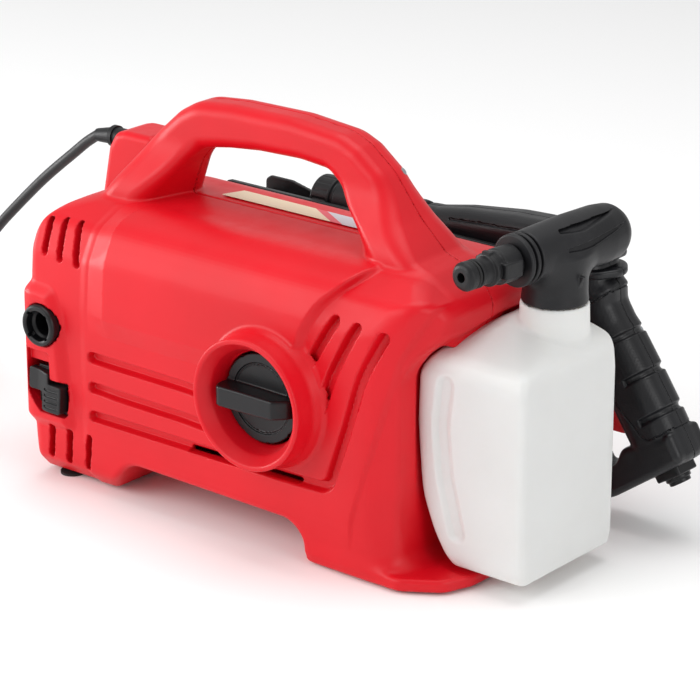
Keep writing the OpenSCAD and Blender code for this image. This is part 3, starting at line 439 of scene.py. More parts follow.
def shaped(name, field, low, high, step, faces, material, body, replaces):
    """A smooth mesh of a field between two corners, with its normals taken from the field itself."""
    full, low = sampled(field, low, high, step)
    grid = openvdb.FloatGrid(FAR)
    grid.copyFromArray(full)
    points, quads = grid.convertToQuads(0.0)
    points = low + step * points
    for _ in range(3):
        value, gradient = slope(field, points)
        steepness = np.maximum((gradient**2).sum(1), 0.2)
        move = -(value / steepness)[:, None] * gradient
        length = np.linalg.norm(move, axis=1)[:, None]
        points = points + move * np.minimum(1, 0.6 * step / np.maximum(length, 1e-9))
    mesh = bpy.data.meshes.new(name)
    mesh.from_pydata(placed(points).tolist(), [], quads.tolist())
    piece = bpy.data.objects.new(name, mesh)
    bpy.context.scene.collection.objects.link(piece)
    if 2 * len(quads) > faces:
        thin = piece.modifiers.new("thin", "DECIMATE")
        thin.ratio = faces / (2 * len(quads))
        evaluated = piece.evaluated_get(bpy.context.evaluated_depsgraph_get())
        mesh = bpy.data.meshes.new_from_object(evaluated)
        piece.modifiers.clear()
        piece.data = mesh
    mesh.validate()
    spots = np.zeros(len(mesh.vertices) * 3)
    mesh.vertices.foreach_get("co", spots)
    spots = spots.reshape(-1, 3) / MM - ORIGIN
    _, gradient = slope(field, spots)
    gradient /= np.maximum(np.linalg.norm(gradient, axis=1), 1e-6)[:, None]
    mesh.shade_smooth()
    mesh.normals_split_custom_set_from_vertices(gradient.tolist())
    mesh.materials.append(material)
    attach(piece, body)
    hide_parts(*replaces)
    print(name, len(quads), "quads,", len(mesh.polygons), "faces kept")


# ---------- bottle ----------
BOTTLE_RIGHT = 202.2
BOTTLE_FRONT, BOTTLE_REAR = -43.4, 51.0
BOTTLE_WALL = 1.9
SHOULDER_R = 20.4
MOUTH_R = 13.6
THREAD_R, THREAD_PITCH, THREAD_Z = 15.3, 4.2, 166.0
bottle_side = Drawn([
    (149, 9.5, 6), (137, 29, 60), (127.5, 54, 60), (121.5, 97, 60), (123.5, 126, 20), (132, 141, 12),
    (144, 150, 16), (154, 153.5, 10), (165, 153, 12), (198, 140, 14), (BOTTLE_RIGHT, 122, 20),
    (BOTTLE_RIGHT, 20, 20), (200.5, 9.5, 5)])
bottle_end = Drawn([
    (-38, 9.5, 5), (BOTTLE_FRONT, 18, 12), (BOTTLE_FRONT, 127, 14), (-37, 138, 12), (0, 149.5, 30),
    (10, 153.5, 12), (38, 153.5, 10), (49, 145, 12), (BOTTLE_REAR, 132, 12), (BOTTLE_REAR, 20, 12),
    (47, 9.5, 5)])
bottle_plan = Drawn([
    (120, BOTTLE_FRONT, 12), (BOTTLE_RIGHT, BOTTLE_FRONT, 9), (BOTTLE_RIGHT, BOTTLE_REAR, 10),
    (120, BOTTLE_REAR, 12)])
grip_groove = Drawn([(144.5, 122), (141.6, 98, 60), (144.6, 68, 60), (153.5, 34)], 4.8)
grip_shelf = Drawn([
    (100, 160), (144, 160), (144, 124, 10), (141.2, 98, 60), (144, 68, 60), (157, 22, 10), (150, 0),
    (100, 0)])


def bottle_outside(x, y, z):
    """Body without its neck, with the finger groove and the step beside it in the front face."""
    body = overlap(bottle_side(x, z), bottle_end(y, z), 5)
    body = overlap(body, bottle_plan(x, y), 5)
    dent = 3.0 * ramp(-grip_groove(x, z), -2.4, 2.6) * ramp(-y, 20, 38)
    step = 0.6 * ramp(-grip_shelf(x, z), -3, 1) * ramp(-y, 20, 40) * ramp(z, 20, 45) * ramp(-z, -136, -120)
    return body + dent - step


def bottle_field(x, y, z):
    """Hollow body with a shoulder, a threaded neck and an open mouth."""
    neck_r = np.hypot(x - NECK_X, y - NECK_Y)
    outside = bottle_outside(x, y, z)
    shoulder = overlap(neck_r - SHOULDER_R + 0.35 * ramp(z, 150, 163), slab(z, 120, 163), 2)
    body = unite(outside, shoulder, 3)
    neck = overlap(neck_r - THREAD_R, slab(z, 160, 177), 0.4)
    turns = (z - THREAD_Z) / THREAD_PITCH - np.arctan2(y - NECK_Y, x - NECK_X) / (2 * math.pi)
    off_ridge = THREAD_PITCH * (np.mod(turns, 1.0) - 0.5)
    ridge = overlap(np.hypot(neck_r - THREAD_R + 0.9, off_ridge) - 1.3, slab(z, 165.5, 175), 0.3)
    body = np.minimum(body, unite(neck, ridge, 0.5))
    inner = unite(outside, overlap(neck_r - 20, slab(z, 120, 164), 2), 3) + BOTTLE_WALL
    bore = np.maximum(neck_r - MOUTH_R, slab(z, 140, 190))
    return np.maximum(np.maximum(body, -inner), -bore)


def bottle_material():
    """Milky blow-moulded plastic that lets a little light through, with a slightly uneven wall."""
    material, tree, shader = new_material("bottle_hdpe")
    link = tree.links.new
    coords = add(tree, "ShaderNodeTexCoord")
    cloud = add(tree, "ShaderNodeTexNoise", Scale=22.0, Detail=4.0)
    pits = add(tree, "ShaderNodeTexNoise", Scale=420.0, Detail=2.0)
    wall = add(tree, "ShaderNodeTexNoise", Scale=26.0, Detail=1.0)
    for node in (cloud, pits, wall):
        link(coords.outputs["Object"], node.inputs["Vector"])
    tint = add(tree, "ShaderNodeMix", data_type="RGBA", A=srgb(238, 237, 233), B=srgb(228, 226, 221))
    link(cloud.outputs["Fac"], tint.inputs["Factor"])
    link(tint.outputs["Result"], shader.inputs["Base Color"])
    gloss = add(tree, "ShaderNodeMapRange", **{"To Min": 0.38, "To Max": 0.56})
    link(pits.outputs["Fac"], gloss.inputs["Value"])
    link(gloss.outputs["Result"], shader.inputs["Roughness"])
    sag = add(tree, "ShaderNodeBump", Strength=1.0, Distance=0.3 * MM)
    skin = add(tree, "ShaderNodeBump", Strength=1.0, Distance=0.03 * MM)
    link(wall.outputs["Fac"], sag.inputs["Height"])
    link(pits.outputs["Fac"], skin.inputs["Height"])
    link(sag.outputs["Normal"], skin.inputs["Normal"])
    link(skin.outputs["Normal"], shader.inputs["Normal"])
    shader.inputs["Subsurface Weight"].default_value = 0.45
    shader.inputs["Subsurface Radius"].default_value = (1.0, 0.9, 0.8)
    shader.inputs["Subsurface Scale"].default_value = 0.012
    shader.inputs["Specular IOR Level"].default_value = 0.45
    return material


HDPE = bottle_material()
shaped("bottle_form", bottle_field, (116, -48, 5), (208, 56, 182), voxel(1.0), 56000,
       HDPE, "container", ["bottle"])


# ---------- casing ----------
PARTING_GAP = 0.15
FRONT_INSET, REAR_INSET = 9.0, 6.5
ARCH_INSET = 4.0
NEST_GAP, NEST_WALL, NEST_FLOOR = 1.6, 3.0, 11.5
GROOVE_HALF, GROOVE_DEPTH, REAR_GROOVE_DEPTH = 3.6, 6.0, 3.5
PANEL_RISE, PAD_RISE, BELT_DEPTH = 6.0, 6.2, 2.4
KNOB_HOLE_R = 28.5
OUTLET_HOLE_R = 13.7
INLET_HOLE_R = 16.1
CORD_HOLE_R = 6.1
side_view = Drawn([
    (-160, 0.6, 4), (-160, 158, 12), (-152, 173, 16), (-122, 183, 30), (100, 183.4, 25), (122, 180.5, 12),
    (142, 168.5, 10), (148, 161, 5), (146, 151, 5), (135, 138, 12), (128, 126, 14), (128, 1.5),
    (70, 1.5, 4), (56, 25, 16), (-76, 27, 20), (-97, 1.5, 5)])
end_view = Drawn([
    (-20, 0.6), (60, 0.6, 4), (72, 13, 12), (75, 34, 20), (75, 120, 30), (71, 150, 20), (61, 169, 16),
    (38, 179.5, 40), (2, 183.4, 40), (-20, 183.4)])
top_view = Drawn([
    (-161, -20), (-161, 50, 20), (-157, 76, 9), (108, 76, 40), (131, 60, 22), (148, 40, 18), (148, -20)])
shelf_view = Drawn([(66, -20), (66, 71), (134, 72, 12), (157, 57, 14), (164, 38, 20), (164, -20)])
arch_edge = Drawn([
    (-150, 140), (-150, 160, 5), (-133, 179, 10), (-104, 219, 60), (-84, 236.5, 30), (-69, 245, 30),
    (-42, 247.5, 60), (6, 248, 60), (44, 244.5, 30), (57, 239, 14), (74, 226, 30), (93, 202, 40),
    (112, 184.5, 10), (124, 180, 10), (141, 169, 10), (141, 140)])
arch_window = Drawn([
    (-92, 160), (-84, 182, 30), (-75, 207, 30), (-65, 216.5, 12), (-44, 220, 30), (-20, 222.5, 60),
    (12, 223.5, 60), (34, 221.5, 10), (44, 214, 10), (50, 197, 20), (53, 160)])
hood_view = Drawn([
    (-168, 162, 4), (-161, 196, 8), (-155, 206, 8), (-147, 208, 4), (-124, 208, 6), (-110, 178),
    (-150, 160)])

# Relief and openings: pad round the outlet, grooves, raised panel, belt, slots, window of the lever
outlet_pad = Drawn([
    (-175, 36), (-175, 129), (-152, 129, 6), (-135, 128, 8), (-127.5, 112, 8), (-123, 67, 60),
    (-119.5, 40, 6), (-124, 36, 4)])
belt_side = Drawn([
    (160, 200), (150, 185), (140, 165, 40), (127, 137, 60), (118, 98.7, 60), (109, 65.8, 60),
    (101, 38, 30), (99, 8), (180, 8), (180, 200)])
grooves = [Drawn([(-103, 51.8), (84, 53, 10), (98, 94, 80), (108, 127, 80), (119, 151)], GROOVE_HALF),
           Drawn([(-103, 70.6), (66, 67.5, 10), (76, 92, 60), (87, 124.6, 80), (101, 153)], GROOVE_HALF),
           Drawn([(-103, 90.3), (55, 88, 8), (62, 106, 60), (70, 127, 60), (85, 154)], GROOVE_HALF)]
panel_edge = Drawn([
    (40, 60), (50, 88, 8), (56, 106, 60), (61, 127, 60), (66, 146, 30), (74, 162, 30), (93, 181, 30),
    (110, 200), (260, 200), (260, 60)])
air_slots = [Drawn(points, 2.4) for points in (
    [(-145, 149), (-147.5, 166)], [(-132, 147), (-136, 166.5)], [(-117.5, 146), (-124, 167)],
    [(-143, 17), (-139.5, 36)], [(-128, 16), (-124.5, 36)], [(-111.5, 16), (-107.5, 36)])]
groove_vents = [Drawn([(-24, 50), (13, 50.5)], 1.7), Drawn([(26, 50.6), (60, 51.2)], 1.7)]
lever_window = Drawn([
    (-157, 86, 2), (-137, 86, 2), (-137, 69, 1), (-124.5, 68, 2), (-124.5, 46, 2), (-145, 46, 2),
    (-157, 57, 2)])
bezel_profile = Drawn([
    (KNOB_HOLE_R, -4), (46, -4), (43, 0.5, 3), (40.8, 6, 10), (40.2, 14, 12), (40, 19.6, 2),
    (37.2, 19.6, 2), (32, 12, 6), (29.4, 4, 3), (KNOB_HOLE_R, 1, 1)])
rear_vents = [Drawn([(62 + 9 * k, 86 - k), (62 + 9 * k, 126 - k)], 2.0) for k in range(6)]


def incline(value, start, end):
    """0 up to start, 1 from end, straight between."""
    return np.clip((value - start) / (end - start), 0, 1)


def front_relief(x, z):
    """Height of the front's relief over the plain casing."""
    panel = incline(x, -106, -90) * incline(z, 106.5, 119) * (1 - ramp(-panel_edge(x, z), -3, 3))
    left_end = 1 - ramp(x, -114, -108)
    height = PANEL_RISE * panel - 1.0 * left_end + PAD_RISE * ramp(-outlet_pad(x, z), -1.5, 7.5)
    for groove in grooves:
        height = height - GROOVE_DEPTH * ramp(-groove(x, z), -0.6, 1.6)
    return height - BELT_DEPTH * ramp(-belt_side(x, z), -1.4, 1.4) * ramp(z, 14, 40)


def rear_relief(x, z):
    """The rear has a lower left end and the same grooves, less deep."""
    height = -2.5 * (1 - ramp(x, -114, -108))
    for groove in grooves:
        height = height - REAR_GROOVE_DEPTH * ramp(-groove(x, z), -0.9, 0.9)
    return height


def handle(x, y, z):
    """Arched handle whose legs spread towards the roof, more so at the front."""
    front = y < 0
    spread = ramp(-z, -222, -180)
    flare = spread * np.clip(-y / 35, 0, 1)
    to_right = ramp(x, -40, 20)
    window = arch_window(x + flare * (15 - 45 * to_right), z)
    half = 17 + spread * np.where(front, 18, 8 * to_right)
    return overlap(cut(arch_edge(x, z), window, 2), np.abs(y) - half, np.where(front, 9, 15))


def casing(x, y, z):
    """The outside of both shells, closed, and the hollow inside them."""
    a = np.abs(y)
    main = overlap(overlap(side_view(x, z), end_view(a, z), 4), top_view(x, a), 5)
    hollow = main + np.where(y < 0, FRONT_INSET, REAR_INSET)
    relief = np.where(y < 0, front_relief(x, z), rear_relief(x, z)) * ramp(a, 22, 60)
    shelf = overlap(shelf_view(x, a), slab(z, 1.5, 9.5), 2.5)
    main = unite(main - relief, shelf, 10)
    nest = bottle_outside(x, y, z) - NEST_GAP
    nest = np.where(z < 60, np.maximum(nest, NEST_FLOOR - z), nest)
    main = cut(main, nest, 6)
    arch = handle(x, y, z)
    hood = overlap(hood_view(x, z), np.abs(y - HOOD_Y) - 16, 5)
    hollow = np.maximum(hollow, NEST_WALL - nest)
    hollow = np.minimum(np.minimum(hollow, arch + ARCH_INSET), hood + ARCH_INSET)
    return unite(unite(main, arch, 3), hood, 3), hollow


def front_shell_field(x, y, z):
    """Front half: bezel of the switch, holes of switch and outlet, the lever's window, slots."""
    body, hollow = casing(x, y, z)
    shell = np.maximum(body, -hollow)
    knob_r, outlet_r = np.hypot(x - KNOB_X, z - KNOB_Z), np.hypot(x - OUTLET_X, z - OUTLET_Z)
    shell = unite(shell, bezel_profile(knob_r, FRONT_Y - y), 2)
    through = y + 45
    window = lever_window(x, z)
    shell = cut(shell, np.maximum(knob_r - KNOB_HOLE_R, through), 0.4)
    shell = cut(shell, np.maximum(outlet_r - OUTLET_HOLE_R, through), 0.6)
    shell = cut(shell, np.maximum(window, np.maximum(through, z - 77.5)), 0.6)
    shell = cut(shell, np.maximum(window, y + 72.5), 0.6)
    for slot in air_slots + groove_vents:
        shell = cut(shell, np.maximum(slot(x, z), y + 30), 0.4)
    return overlap(shell, y + PARTING_GAP, 0.5)


def rear_shell_field(x, y, z):
    """Rear half: slots, and the holes of the water inlet and the cord in the left end."""
    body, hollow = casing(x, y, z)
    shell = np.maximum(body, -hollow)
    for slot in air_slots + rear_vents:
        shell = cut(shell, np.maximum(slot(x, z), 30 - y), 0.4)
    shell = cut(shell, np.maximum(np.hypot(y - INLET_Y, z - INLET_Z) - INLET_HOLE_R, x + 140), 0.4)
    shell = cut(shell, np.maximum(np.hypot(y - HOOD_Y, z - HOOD_Z) - CORD_HOLE_R, x + 150), 0.4)
    return overlap(shell, PARTING_GAP - y, 0.5)


shaped("front_shell_form", front_shell_field, (-172, -102, -4), (170, 4, 254), voxel(1.25), 130000,
       RED, "washer", ["front_shell"])
shaped("rear_shell_form", rear_shell_field, (-172, -4, -4), (170, 84, 254), voxel(1.25), 80000,
       RED, "washer", ["rear_shell"])


# ---------- switch knob ----------
KNOB_R = 27.3
NOTCH_ANGLE = 0.7
knob_side = Drawn([
    (-27, 1, 1), (-27.2, 12, 6), (-24, 17.4, 5), (18, 16.6, 2.5), (25.5, 9, 5), (26.5, 1, 1)])


def knob_field(x, y, z):
    """Disc with a rim, a ring line and notches, and a deep bar whose left end hooks over."""
    u, v, out = x - KNOB_X, z - KNOB_Z, FRONT_Y - y
    r = np.hypot(u, v)
    disc = overlap(r - KNOB_R, slab(out, -4, 4.2), 0.8)
    disc = np.maximum(disc, -overlap(slab(r, 20.6, 21.8), 3.4 - out, 0.1))
    disc = cut(disc, overlap(r - 20.5, 3.6 - out, 0.5), 0.3)
    off_notch = np.mod(np.arctan2(v, u) + NOTCH_ANGLE / 2, NOTCH_ANGLE) - NOTCH_ANGLE / 2
    disc = cut(disc, np.hypot(27.6 * off_notch, r - 28.2) - 1.6, 0.3)
    bar = overlap(np.abs(v) - 6.3 + 0.5 * ramp(u, -10, 26), knob_side(u, out), 1.6)
    return unite(disc, bar, 1.2)


shaped("switch_knob_form", knob_field, (9, -94, 70), (68, -68, 129), voxel(0.6), 20000,
       SMOOTH_BLACK, "selector", ["switch_knob"])


# ---------- outlet and its release lever ----------
coupler_profile = Drawn([
    (7.5, -20), (7.5, -1, 0.6), (9.2, 0.6, 0.6), (9.6, 5.4, 0.8), (11.2, 5.9, 0.5), (12.6, 5.6, 0.8),
    (13.5, 4, 1), (13.5, -14, 0.3), (14.2, -14, 0.2), (14.2, -17, 0.2), (13.5, -17, 0.2), (13.5, -30, 1),
    (5, -30), (5, -20)])


def coupler_field(x, y, z):
    """Socket ring with four key slots in its mouth."""
    r, out = np.hypot(x - OUTLET_X, z - OUTLET_Z), FRONT_Y - y
    ring = coupler_profile(r, out)
    angle = np.arctan2(z - OUTLET_Z, x - OUTLET_X)
    key = overlap(np.abs(12 * (np.mod(angle, math.pi / 2) - math.pi / 4)) - 1.4, np.abs(r - 9.6) - 1.3, 0.3)
    return cut(ring, np.maximum(key, 1.5 - out), 0.2)


shaped("outlet_coupler_form", coupler_field, (-160, -84, 86), (-126, -42, 121), voxel(0.5), 12000,
       SMOOTH_BLACK, "washer", ["outlet_coupler"])

lever_pad = Drawn([
    (-155, 60, 2), (-155, 74, 1.6), (-137, 73, 1.6), (-137, 66.4, 1), (-126, 66, 1.6), (-126, 48.5, 2),
    (-142.6, 48.5, 1.6), (-143, 60, 1)])
LINE_PITCH = 3.6


def lever_field(x, y, z):
    """Sloping thumb pad with four lines across it, on a plate with a hook behind."""
    out = FRONT_Y - y
    top = 2.6 + 2.2 * ramp(x, -148, -136) - 0.08 * (z - 60)
    pad = overlap(lever_pad(x, z), slab(out, -3.2, top), 0.8)
    for low in 51 + LINE_PITCH * np.arange(4):
        line = np.maximum(slab(z, low, low + 1.3), slab(x, -140.5, -128.5))
        pad = np.maximum(pad, -np.maximum(line, top - 0.8 - out))
    plate = box_field(x, y, z, (-151, -72, 46), (-123, -70, 75), 0.4)
    hook = box_field(x, y, z, (-146, -70.3, 65), (-138, -64, 75), 0.5)
    return np.minimum(np.minimum(pad, plate), hook)


shaped("release_lever_form", lever_field, (-160, -84, 42), (-118, -60, 88), voxel(0.5), 12000,
       BLACK, "latch", ["release_lever"])


# ---------- foam head ----------
def head_frame(x, y, z):
    """Distance to the barrel's axis, place along it, and the side and height about it."""
    c, s = math.cos(HEAD_TURN), math.sin(HEAD_TURN)
    u, v = x - NECK_X, y - NECK_Y
    side, along, up = c * u + s * v, -s * u + c * v, z - HEAD_Z
    return np.hypot(side, up), along, side, up


barrel_profile = Drawn([
    (-20, -36), (15.4, -36, 1), (15.5, -33, 0.8), (13, -32.9), (13, -31.2), (15.5, -31.1, 0.8),
    (15.5, -28.6, 0.8), (13, -28.5), (13, -26.8), (15.4, -26.7, 0.8), (15.9, -20, 20), (17.4, 10, 60),
    (17.6, 34, 30), (16.6, 45, 10), (12, 52, 10), (4, 54, 6), (-20, 54)])
fluke_high = Drawn([(-22, 13.2, 2), (8, 14.6, 40), (42, 15.6), (8, 10.6, 40)])
fluke_low = Drawn([(-20, 3.2, 2), (8, 4.8, 40), (46, 9.4), (8, 0.4, 40)])


def foam_head_field(x, y, z):
    """Barrel across a collar, with recesses along its sides, a web, and bores for stem, neck and foam."""
    r, along, side, up = head_frame(x, y, z)
    barrel = barrel_profile(r, along)
    for fluke, depth in ((fluke_high, 1.9), (fluke_low, 1.3)):
        cutter = np.maximum(fluke(along, up), 15.9 + 0.034 * (along + 20) - depth - r)
        barrel = cut(barrel, cutter, 0.5)
    neck_r = np.hypot(x - NECK_X, y - NECK_Y)
    collar = overlap(neck_r - 19 - 0.5 * ramp(-z, -170, -163), slab(z, 163.4, HEAD_Z - 2), 0.8)
    body = unite(barrel, collar, 6)
    edge = np.maximum(np.abs(side - 19 + 0.55 * (180 - z)) - 2.2, slab(z, 172, 182))
    web = overlap(np.abs(neck_r - 19) - 3.4, edge, 0.6)
    body = unite(body, np.maximum(web, np.abs(along) - 1.2), 0.8)
    body = np.maximum(body, -np.maximum(neck_r - 15.9, z - 178))
    body = np.maximum(body, -np.maximum(r - 8.1, along + 22))
    return np.maximum(body, -np.maximum(r - 9.05, np.maximum(22 - along, along - 51)))


shaped("foam_head_form", foam_head_field, (138, -30, 158), (210, 82, 218), voxel(0.62), 44000,
       BLACK, "head", ["foam_head"])

stem_profile = Drawn([
    (-20, -78), (5.4, -78, 0.5), (7.0, -77.4, 0.6), (8.4, -75.6, 1), (8.4, -71.2, 0.3), (5.9, -71),
    (5.9, -68), (8.4, -67.8, 0.3), (8.4, -65.6, 0.4), (7.8, -65, 0.6), (7.8, -58.4, 0.8), (9.8, -58, 0.6),
    (9.8, -55.4, 0.6), (8.8, -55, 0.8), (8.8, -51, 0.8), (10.6, -50.4, 0.6), (10.6, -38, 0.5), (8, -35.8),
    (8, -23), (-20, -23)])


def stem_field(x, y, z):
    """Turned plug with a seal groove, a bayonet lug on each side and a key on top."""
    r, along, side, up = head_frame(x, y, z)
    body = stem_profile(r, along)
    for sign in (-1, 1):
        lug = overlap(overlap(np.abs(up) - 4.8, sign * side - 12.0, 0.8), slab(along, -54, -40), 0.8)
        body = unite(body, np.maximum(lug, -sign * side + 6), 0.4)
    crown = overlap(overlap(np.abs(side) - 3.2, up - 10.6, 0.5), slab(along, -58.2, -55.2), 0.3)
    body = np.minimum(body, np.maximum(crown, 6 - up))
    return np.maximum(body, -np.maximum(r - 2.8, -80 - along))


shaped("head_stem_form", stem_field, (150, -62, 178), (192, 6, 211), voxel(0.5), 16000,
       BLACK, "head", ["head_stem"])


# ---------- spray gun ----------
GRIP_TOP = (164.0, 150.0)
LEAN = math.radians(32.5)
FORWARD = np.array([-math.cos(LEAN), -math.sin(LEAN)])
DOWN = np.array([math.sin(LEAN), -math.cos(LEAN)])
HEAD_LOW, HEAD_HIGH = GUN_Y + 10.4, GUN_Y + 12.8


def grip_place(x, z):
    """Place along the grip, downwards, and forwards from its back edge."""
    dx, dz = x - GRIP_TOP[0], z - GRIP_TOP[1]
    return dx * DOWN[0] + dz * DOWN[1], dx * FORWARD[0] + dz * FORWARD[1]


def grip_spot(a, b):
    """The x and z of a place along the grip."""
    return GRIP_TOP + a * DOWN + b * FORWARD


hull_view = Drawn([
    (20, 147, 4), (92, 141, 14), (114, 121, 14), (150, 128, 10), (158, 150, 10), (157, 165, 8),
    (140, 174, 14), (114, 181, 30), (90, 180, 40), (52, 176, 40), (30, 172, 8), (20, 171.5, 2)])
grip_view = Drawn([
    (-18, 4, 4), (1, -1, 4), (5.5, 1.6, 8), (10, 4, 8), (20, 4, 12), (28, 2.4, 6), (52, 1.2, 30),
    (78, 0.4, 30), (93, 0.4, 3), (112, 0.8, 5), (114, 36, 4), (60, 37, 20), (4, 37, 8), (-18, 34)])
base_view = Drawn([
    (92, 0.4, 3), (112, 0.8, 6), (115, 60, 30), (113, 79, 7), (97, 79, 6), (96, 60, 14), (90, 38, 10),
    (92, 20)])
strut_view = Drawn([(-8, 66), (20, 72, 20), (106, 72)], 6.8)
link_view = Drawn([(-18, 18), (-13, 78, 8), (12, 79, 8), (14, 66, 6), (3, 57, 8), (6, 37, 8), (6, 18)])
finger_hole = Drawn([
    (6, 37.5, 4), (82, 37.5, 14), (97.5, 45, 14), (97, 57, 12), (89, 65, 10), (14, 65, 8), (4, 57, 6)])
trigger_slot = Drawn([(-12, 27), (-12, 62), (16, 65), (94.5, 50, 3), (94.5, 18, 3), (40, 18)])
collar_views = [Drawn([(116, 160.5, 2), (160.6, 163.4, 2.4), (161.2, 168.6, 2.4), (116, 166, 2)]),
                Drawn([(120, 151, 2), (168.6, 155.6, 2.4), (168.8, 160.6, 2.4), (120, 157.4, 2)])]
collar_plan = Drawn([
    (100, GUN_Y - 17.6), (158, GUN_Y - 17.6, 14), (170.5, GUN_Y, 12), (158, GUN_Y + 17.6, 14),
    (100, GUN_Y + 17.6)])
overlay_line = Drawn([(90.5, -20), (91.5, 19, 6), (64, 27.2, 8), (16, 28, 10), (4, 18), (0, -20)], 0.45)
hull_line = Drawn([(46, 169.6), (74, 172.4, 80), (106, 174.6)], 0.55)


def gun_outside(x, y, z):
    """Grip, base, guard and barrel housing of the gun, closed, with the hole for the fingers."""
    a, b = grip_place(x, z)
    side = np.abs(y - GUN_Y)
    grip = overlap(grip_view(a, b), side - 16.4, 13)
    for k, spot in enumerate((29, 54.5, 79.5)):
        ring = np.hypot(a - spot - 0.05 * b, np.minimum(grip, 2)) - 2.1
        grip = cut(grip, np.maximum(ring, b - 13 - 2 * k), 1.0)
    line = np.maximum(overlay_line(a, b), -0.7 - grip)
    grip = cut(grip, line, 0.2)
    base = overlap(base_view(a, b), side - 16.6, 5)
    body = unite(grip, base, 1)
    body = unite(body, overlap(strut_view(a, b), side - 12, 5), 4)
    body = unite(body, overlap(link_view(a, b), side - 15, 8), 4)
    half = 13.4 + 3 * ramp(x, 24, 100)
    hull = overlap(hull_view(x, z), side - half, 11)
    hull = cut(hull, np.maximum(hull_line(x, z), -1.0 - hull), 0.3)
    body = unite(body, hull, 4)
    for view in collar_views:
        body = unite(body, overlap(overlap(view(x, z), collar_plan(x, y), 2.2), -hull - 14, 0.5), 0.8)
    return cut(body, finger_hole(a, b), 2)


GUN_SCREWS = [grip_spot(30, 10), grip_spot(88, 10), grip_spot(60, 72), (76, 170), (100, 150)]


def gun_shell_field(sign):
    """One half of the gun: sign 1 is the near half, -1 the far one, which has the screws' pockets."""
    def field(x, y, z):
        a, b = grip_place(x, z)
        shell = gun_outside(x, y, z)
        shell = np.maximum(shell, -overlap(trigger_slot(a, b), np.abs(y - GUN_Y) - 8, 1))
        bore = np.maximum(np.hypot(y - GUN_Y, z - BARREL_Z) - 8.1, slab(x, 19, 118))
        shell = np.maximum(shell, -bore)
        for sx, sz in GUN_SCREWS:
            shell = np.maximum(shell, -np.maximum(np.hypot(x - sx, z - sz) - 3.3, HEAD_LOW - y))
        return overlap(shell, sign * (y - GUN_Y) + 0.12, 0.4)
    return field


def grip_material():
    """Black plastic with a fine dimple pattern, as on a moulded grip."""
    material = moulded("grip_black", srgb(16, 16, 19), srgb(23, 24, 28),
                       rough=0.34, grain=1300, grain_depth=0.02, specular=0.4)
    tree = material.node_tree
    shader = tree.nodes["Principled BSDF"]
    last = shader.inputs["Normal"].links[0].from_node
    coords = next(n for n in tree.nodes if n.type == "TEX_COORD")
    dimples = add(tree, "ShaderNodeTexVoronoi", Scale=620.0, Randomness=0.15)
    dent = add(tree, "ShaderNodeBump", Strength=0.6, Distance=0.12 * MM)
    tree.links.new(coords.outputs["Object"], dimples.inputs["Vector"])
    tree.links.new(dimples.outputs["Distance"], dent.inputs["Height"])
    tree.links.new(last.outputs["Normal"], dent.inputs["Normal"])
    tree.links.new(dent.outputs["Normal"], shader.inputs["Normal"])
    return material


GRIP_BLACK = grip_material()
for side, sign, y_low in (("near", 1, 80), ("far", -1, 98)):
    shaped(f"gun_{side}_form", gun_shell_field(sign), (14, y_low, 10), (228, y_low + 22, 186),
           voxel(0.8), 44000, GRIP_BLACK, "gun", [f"gun_{side}_shell"])


def gun_screw_field(x, y, z):
    """Pan heads with a cross slot, low in their pockets on the far side."""
    body = np.inf
    for sx, sz in GUN_SCREWS:
        u, v = np.abs(x - sx), np.abs(z - sz)
        head = overlap(np.hypot(u, v) - 3.0, slab(y, HEAD_LOW, HEAD_HIGH), 0.7)
        cross = np.maximum(np.minimum(u, v) - 0.45, np.maximum(u, v) - 1.9)
        head = np.maximum(head, -np.maximum(cross, HEAD_LOW + 1 - y))
        shank = np.maximum(np.hypot(u, v) - 1.45, slab(y, GUN_Y - 11, HEAD_LOW + 0.4))
        body = np.minimum(body, np.minimum(head, shank))
    return body


shaped("gun_screw_forms", gun_screw_field, (70, 86, 40), (190, 116, 176), voxel(0.5), 9000,
       STEEL, "gun", ["gun_screws"])

trigger_view = Drawn([
    (-2, 45, 3), (-2, 54, 3), (10, 57, 6), (40, 50, 60), (70, 47, 40), (86, 49.5, 5), (91, 44, 4),
    (86, 37, 5), (60, 36, 20), (20, 40, 30)])
catch_pocket = Drawn([(44, 30), (44, 43, 1), (76, 43, 1), (76, 30)])


def trigger_field(x, y, z):
    """Curved trigger with five grooves across it, the pin's hole and the catch's pocket."""
    a, b = grip_place(x, z)
    side = np.abs(y - GUN_Y)
    body = overlap(trigger_view(a, b), side - 6.9, 2.6)
    for groove_a in range(34, 67, 8):
        body = cut(body, np.hypot(a - groove_a, b - 51.6 + 0.075 * (a - 40)) - 1.3, 0.5)
    body = np.maximum(body, 2.56 - np.hypot(a - 2, b - 50))
    return np.maximum(body, -np.maximum(catch_pocket(a, b), side - 2.6))


shaped("trigger_form", trigger_field, (105, 90, 60), (175, 110, 140), voxel(0.6), 10000,
       TRIGGER_RED, "gun_trigger", ["trigger"])

barrel_view = Drawn([
    (-40, 3.5), (-40, 8.6, 0.5), (-66, 8.6), (-66, 11.6, 1.4), (-63.6, 14.4, 1.2), (-50, 14.6, 0.8),
    (-49.4, 12.4, 0.8), (-46.6, 12.4, 0.8), (-46, 14.6, 0.8), (-33, 14.4, 1.2), (-31, 12.2, 1),
    (16, 13, 1), (19, 12.6, 0.5), (20, 8), (84, 8, 0.4), (84, 3.5)])
FLUTES = 16


def barrel_field(x, y, z):
    """Turned tube whose collar is fluted."""
    r, angle = np.hypot(y - GUN_Y, z - BARREL_Z), np.arctan2(z - BARREL_Z, y - GUN_Y)
    off_flute = np.mod(angle, 2 * math.pi / FLUTES) - math.pi / FLUTES
    flute = np.hypot(14.6 * off_flute, r - 15.4) - 1.3
    return cut(barrel_view(x, r), np.maximum(flute, slab(x, -62, -51)), 0.3)


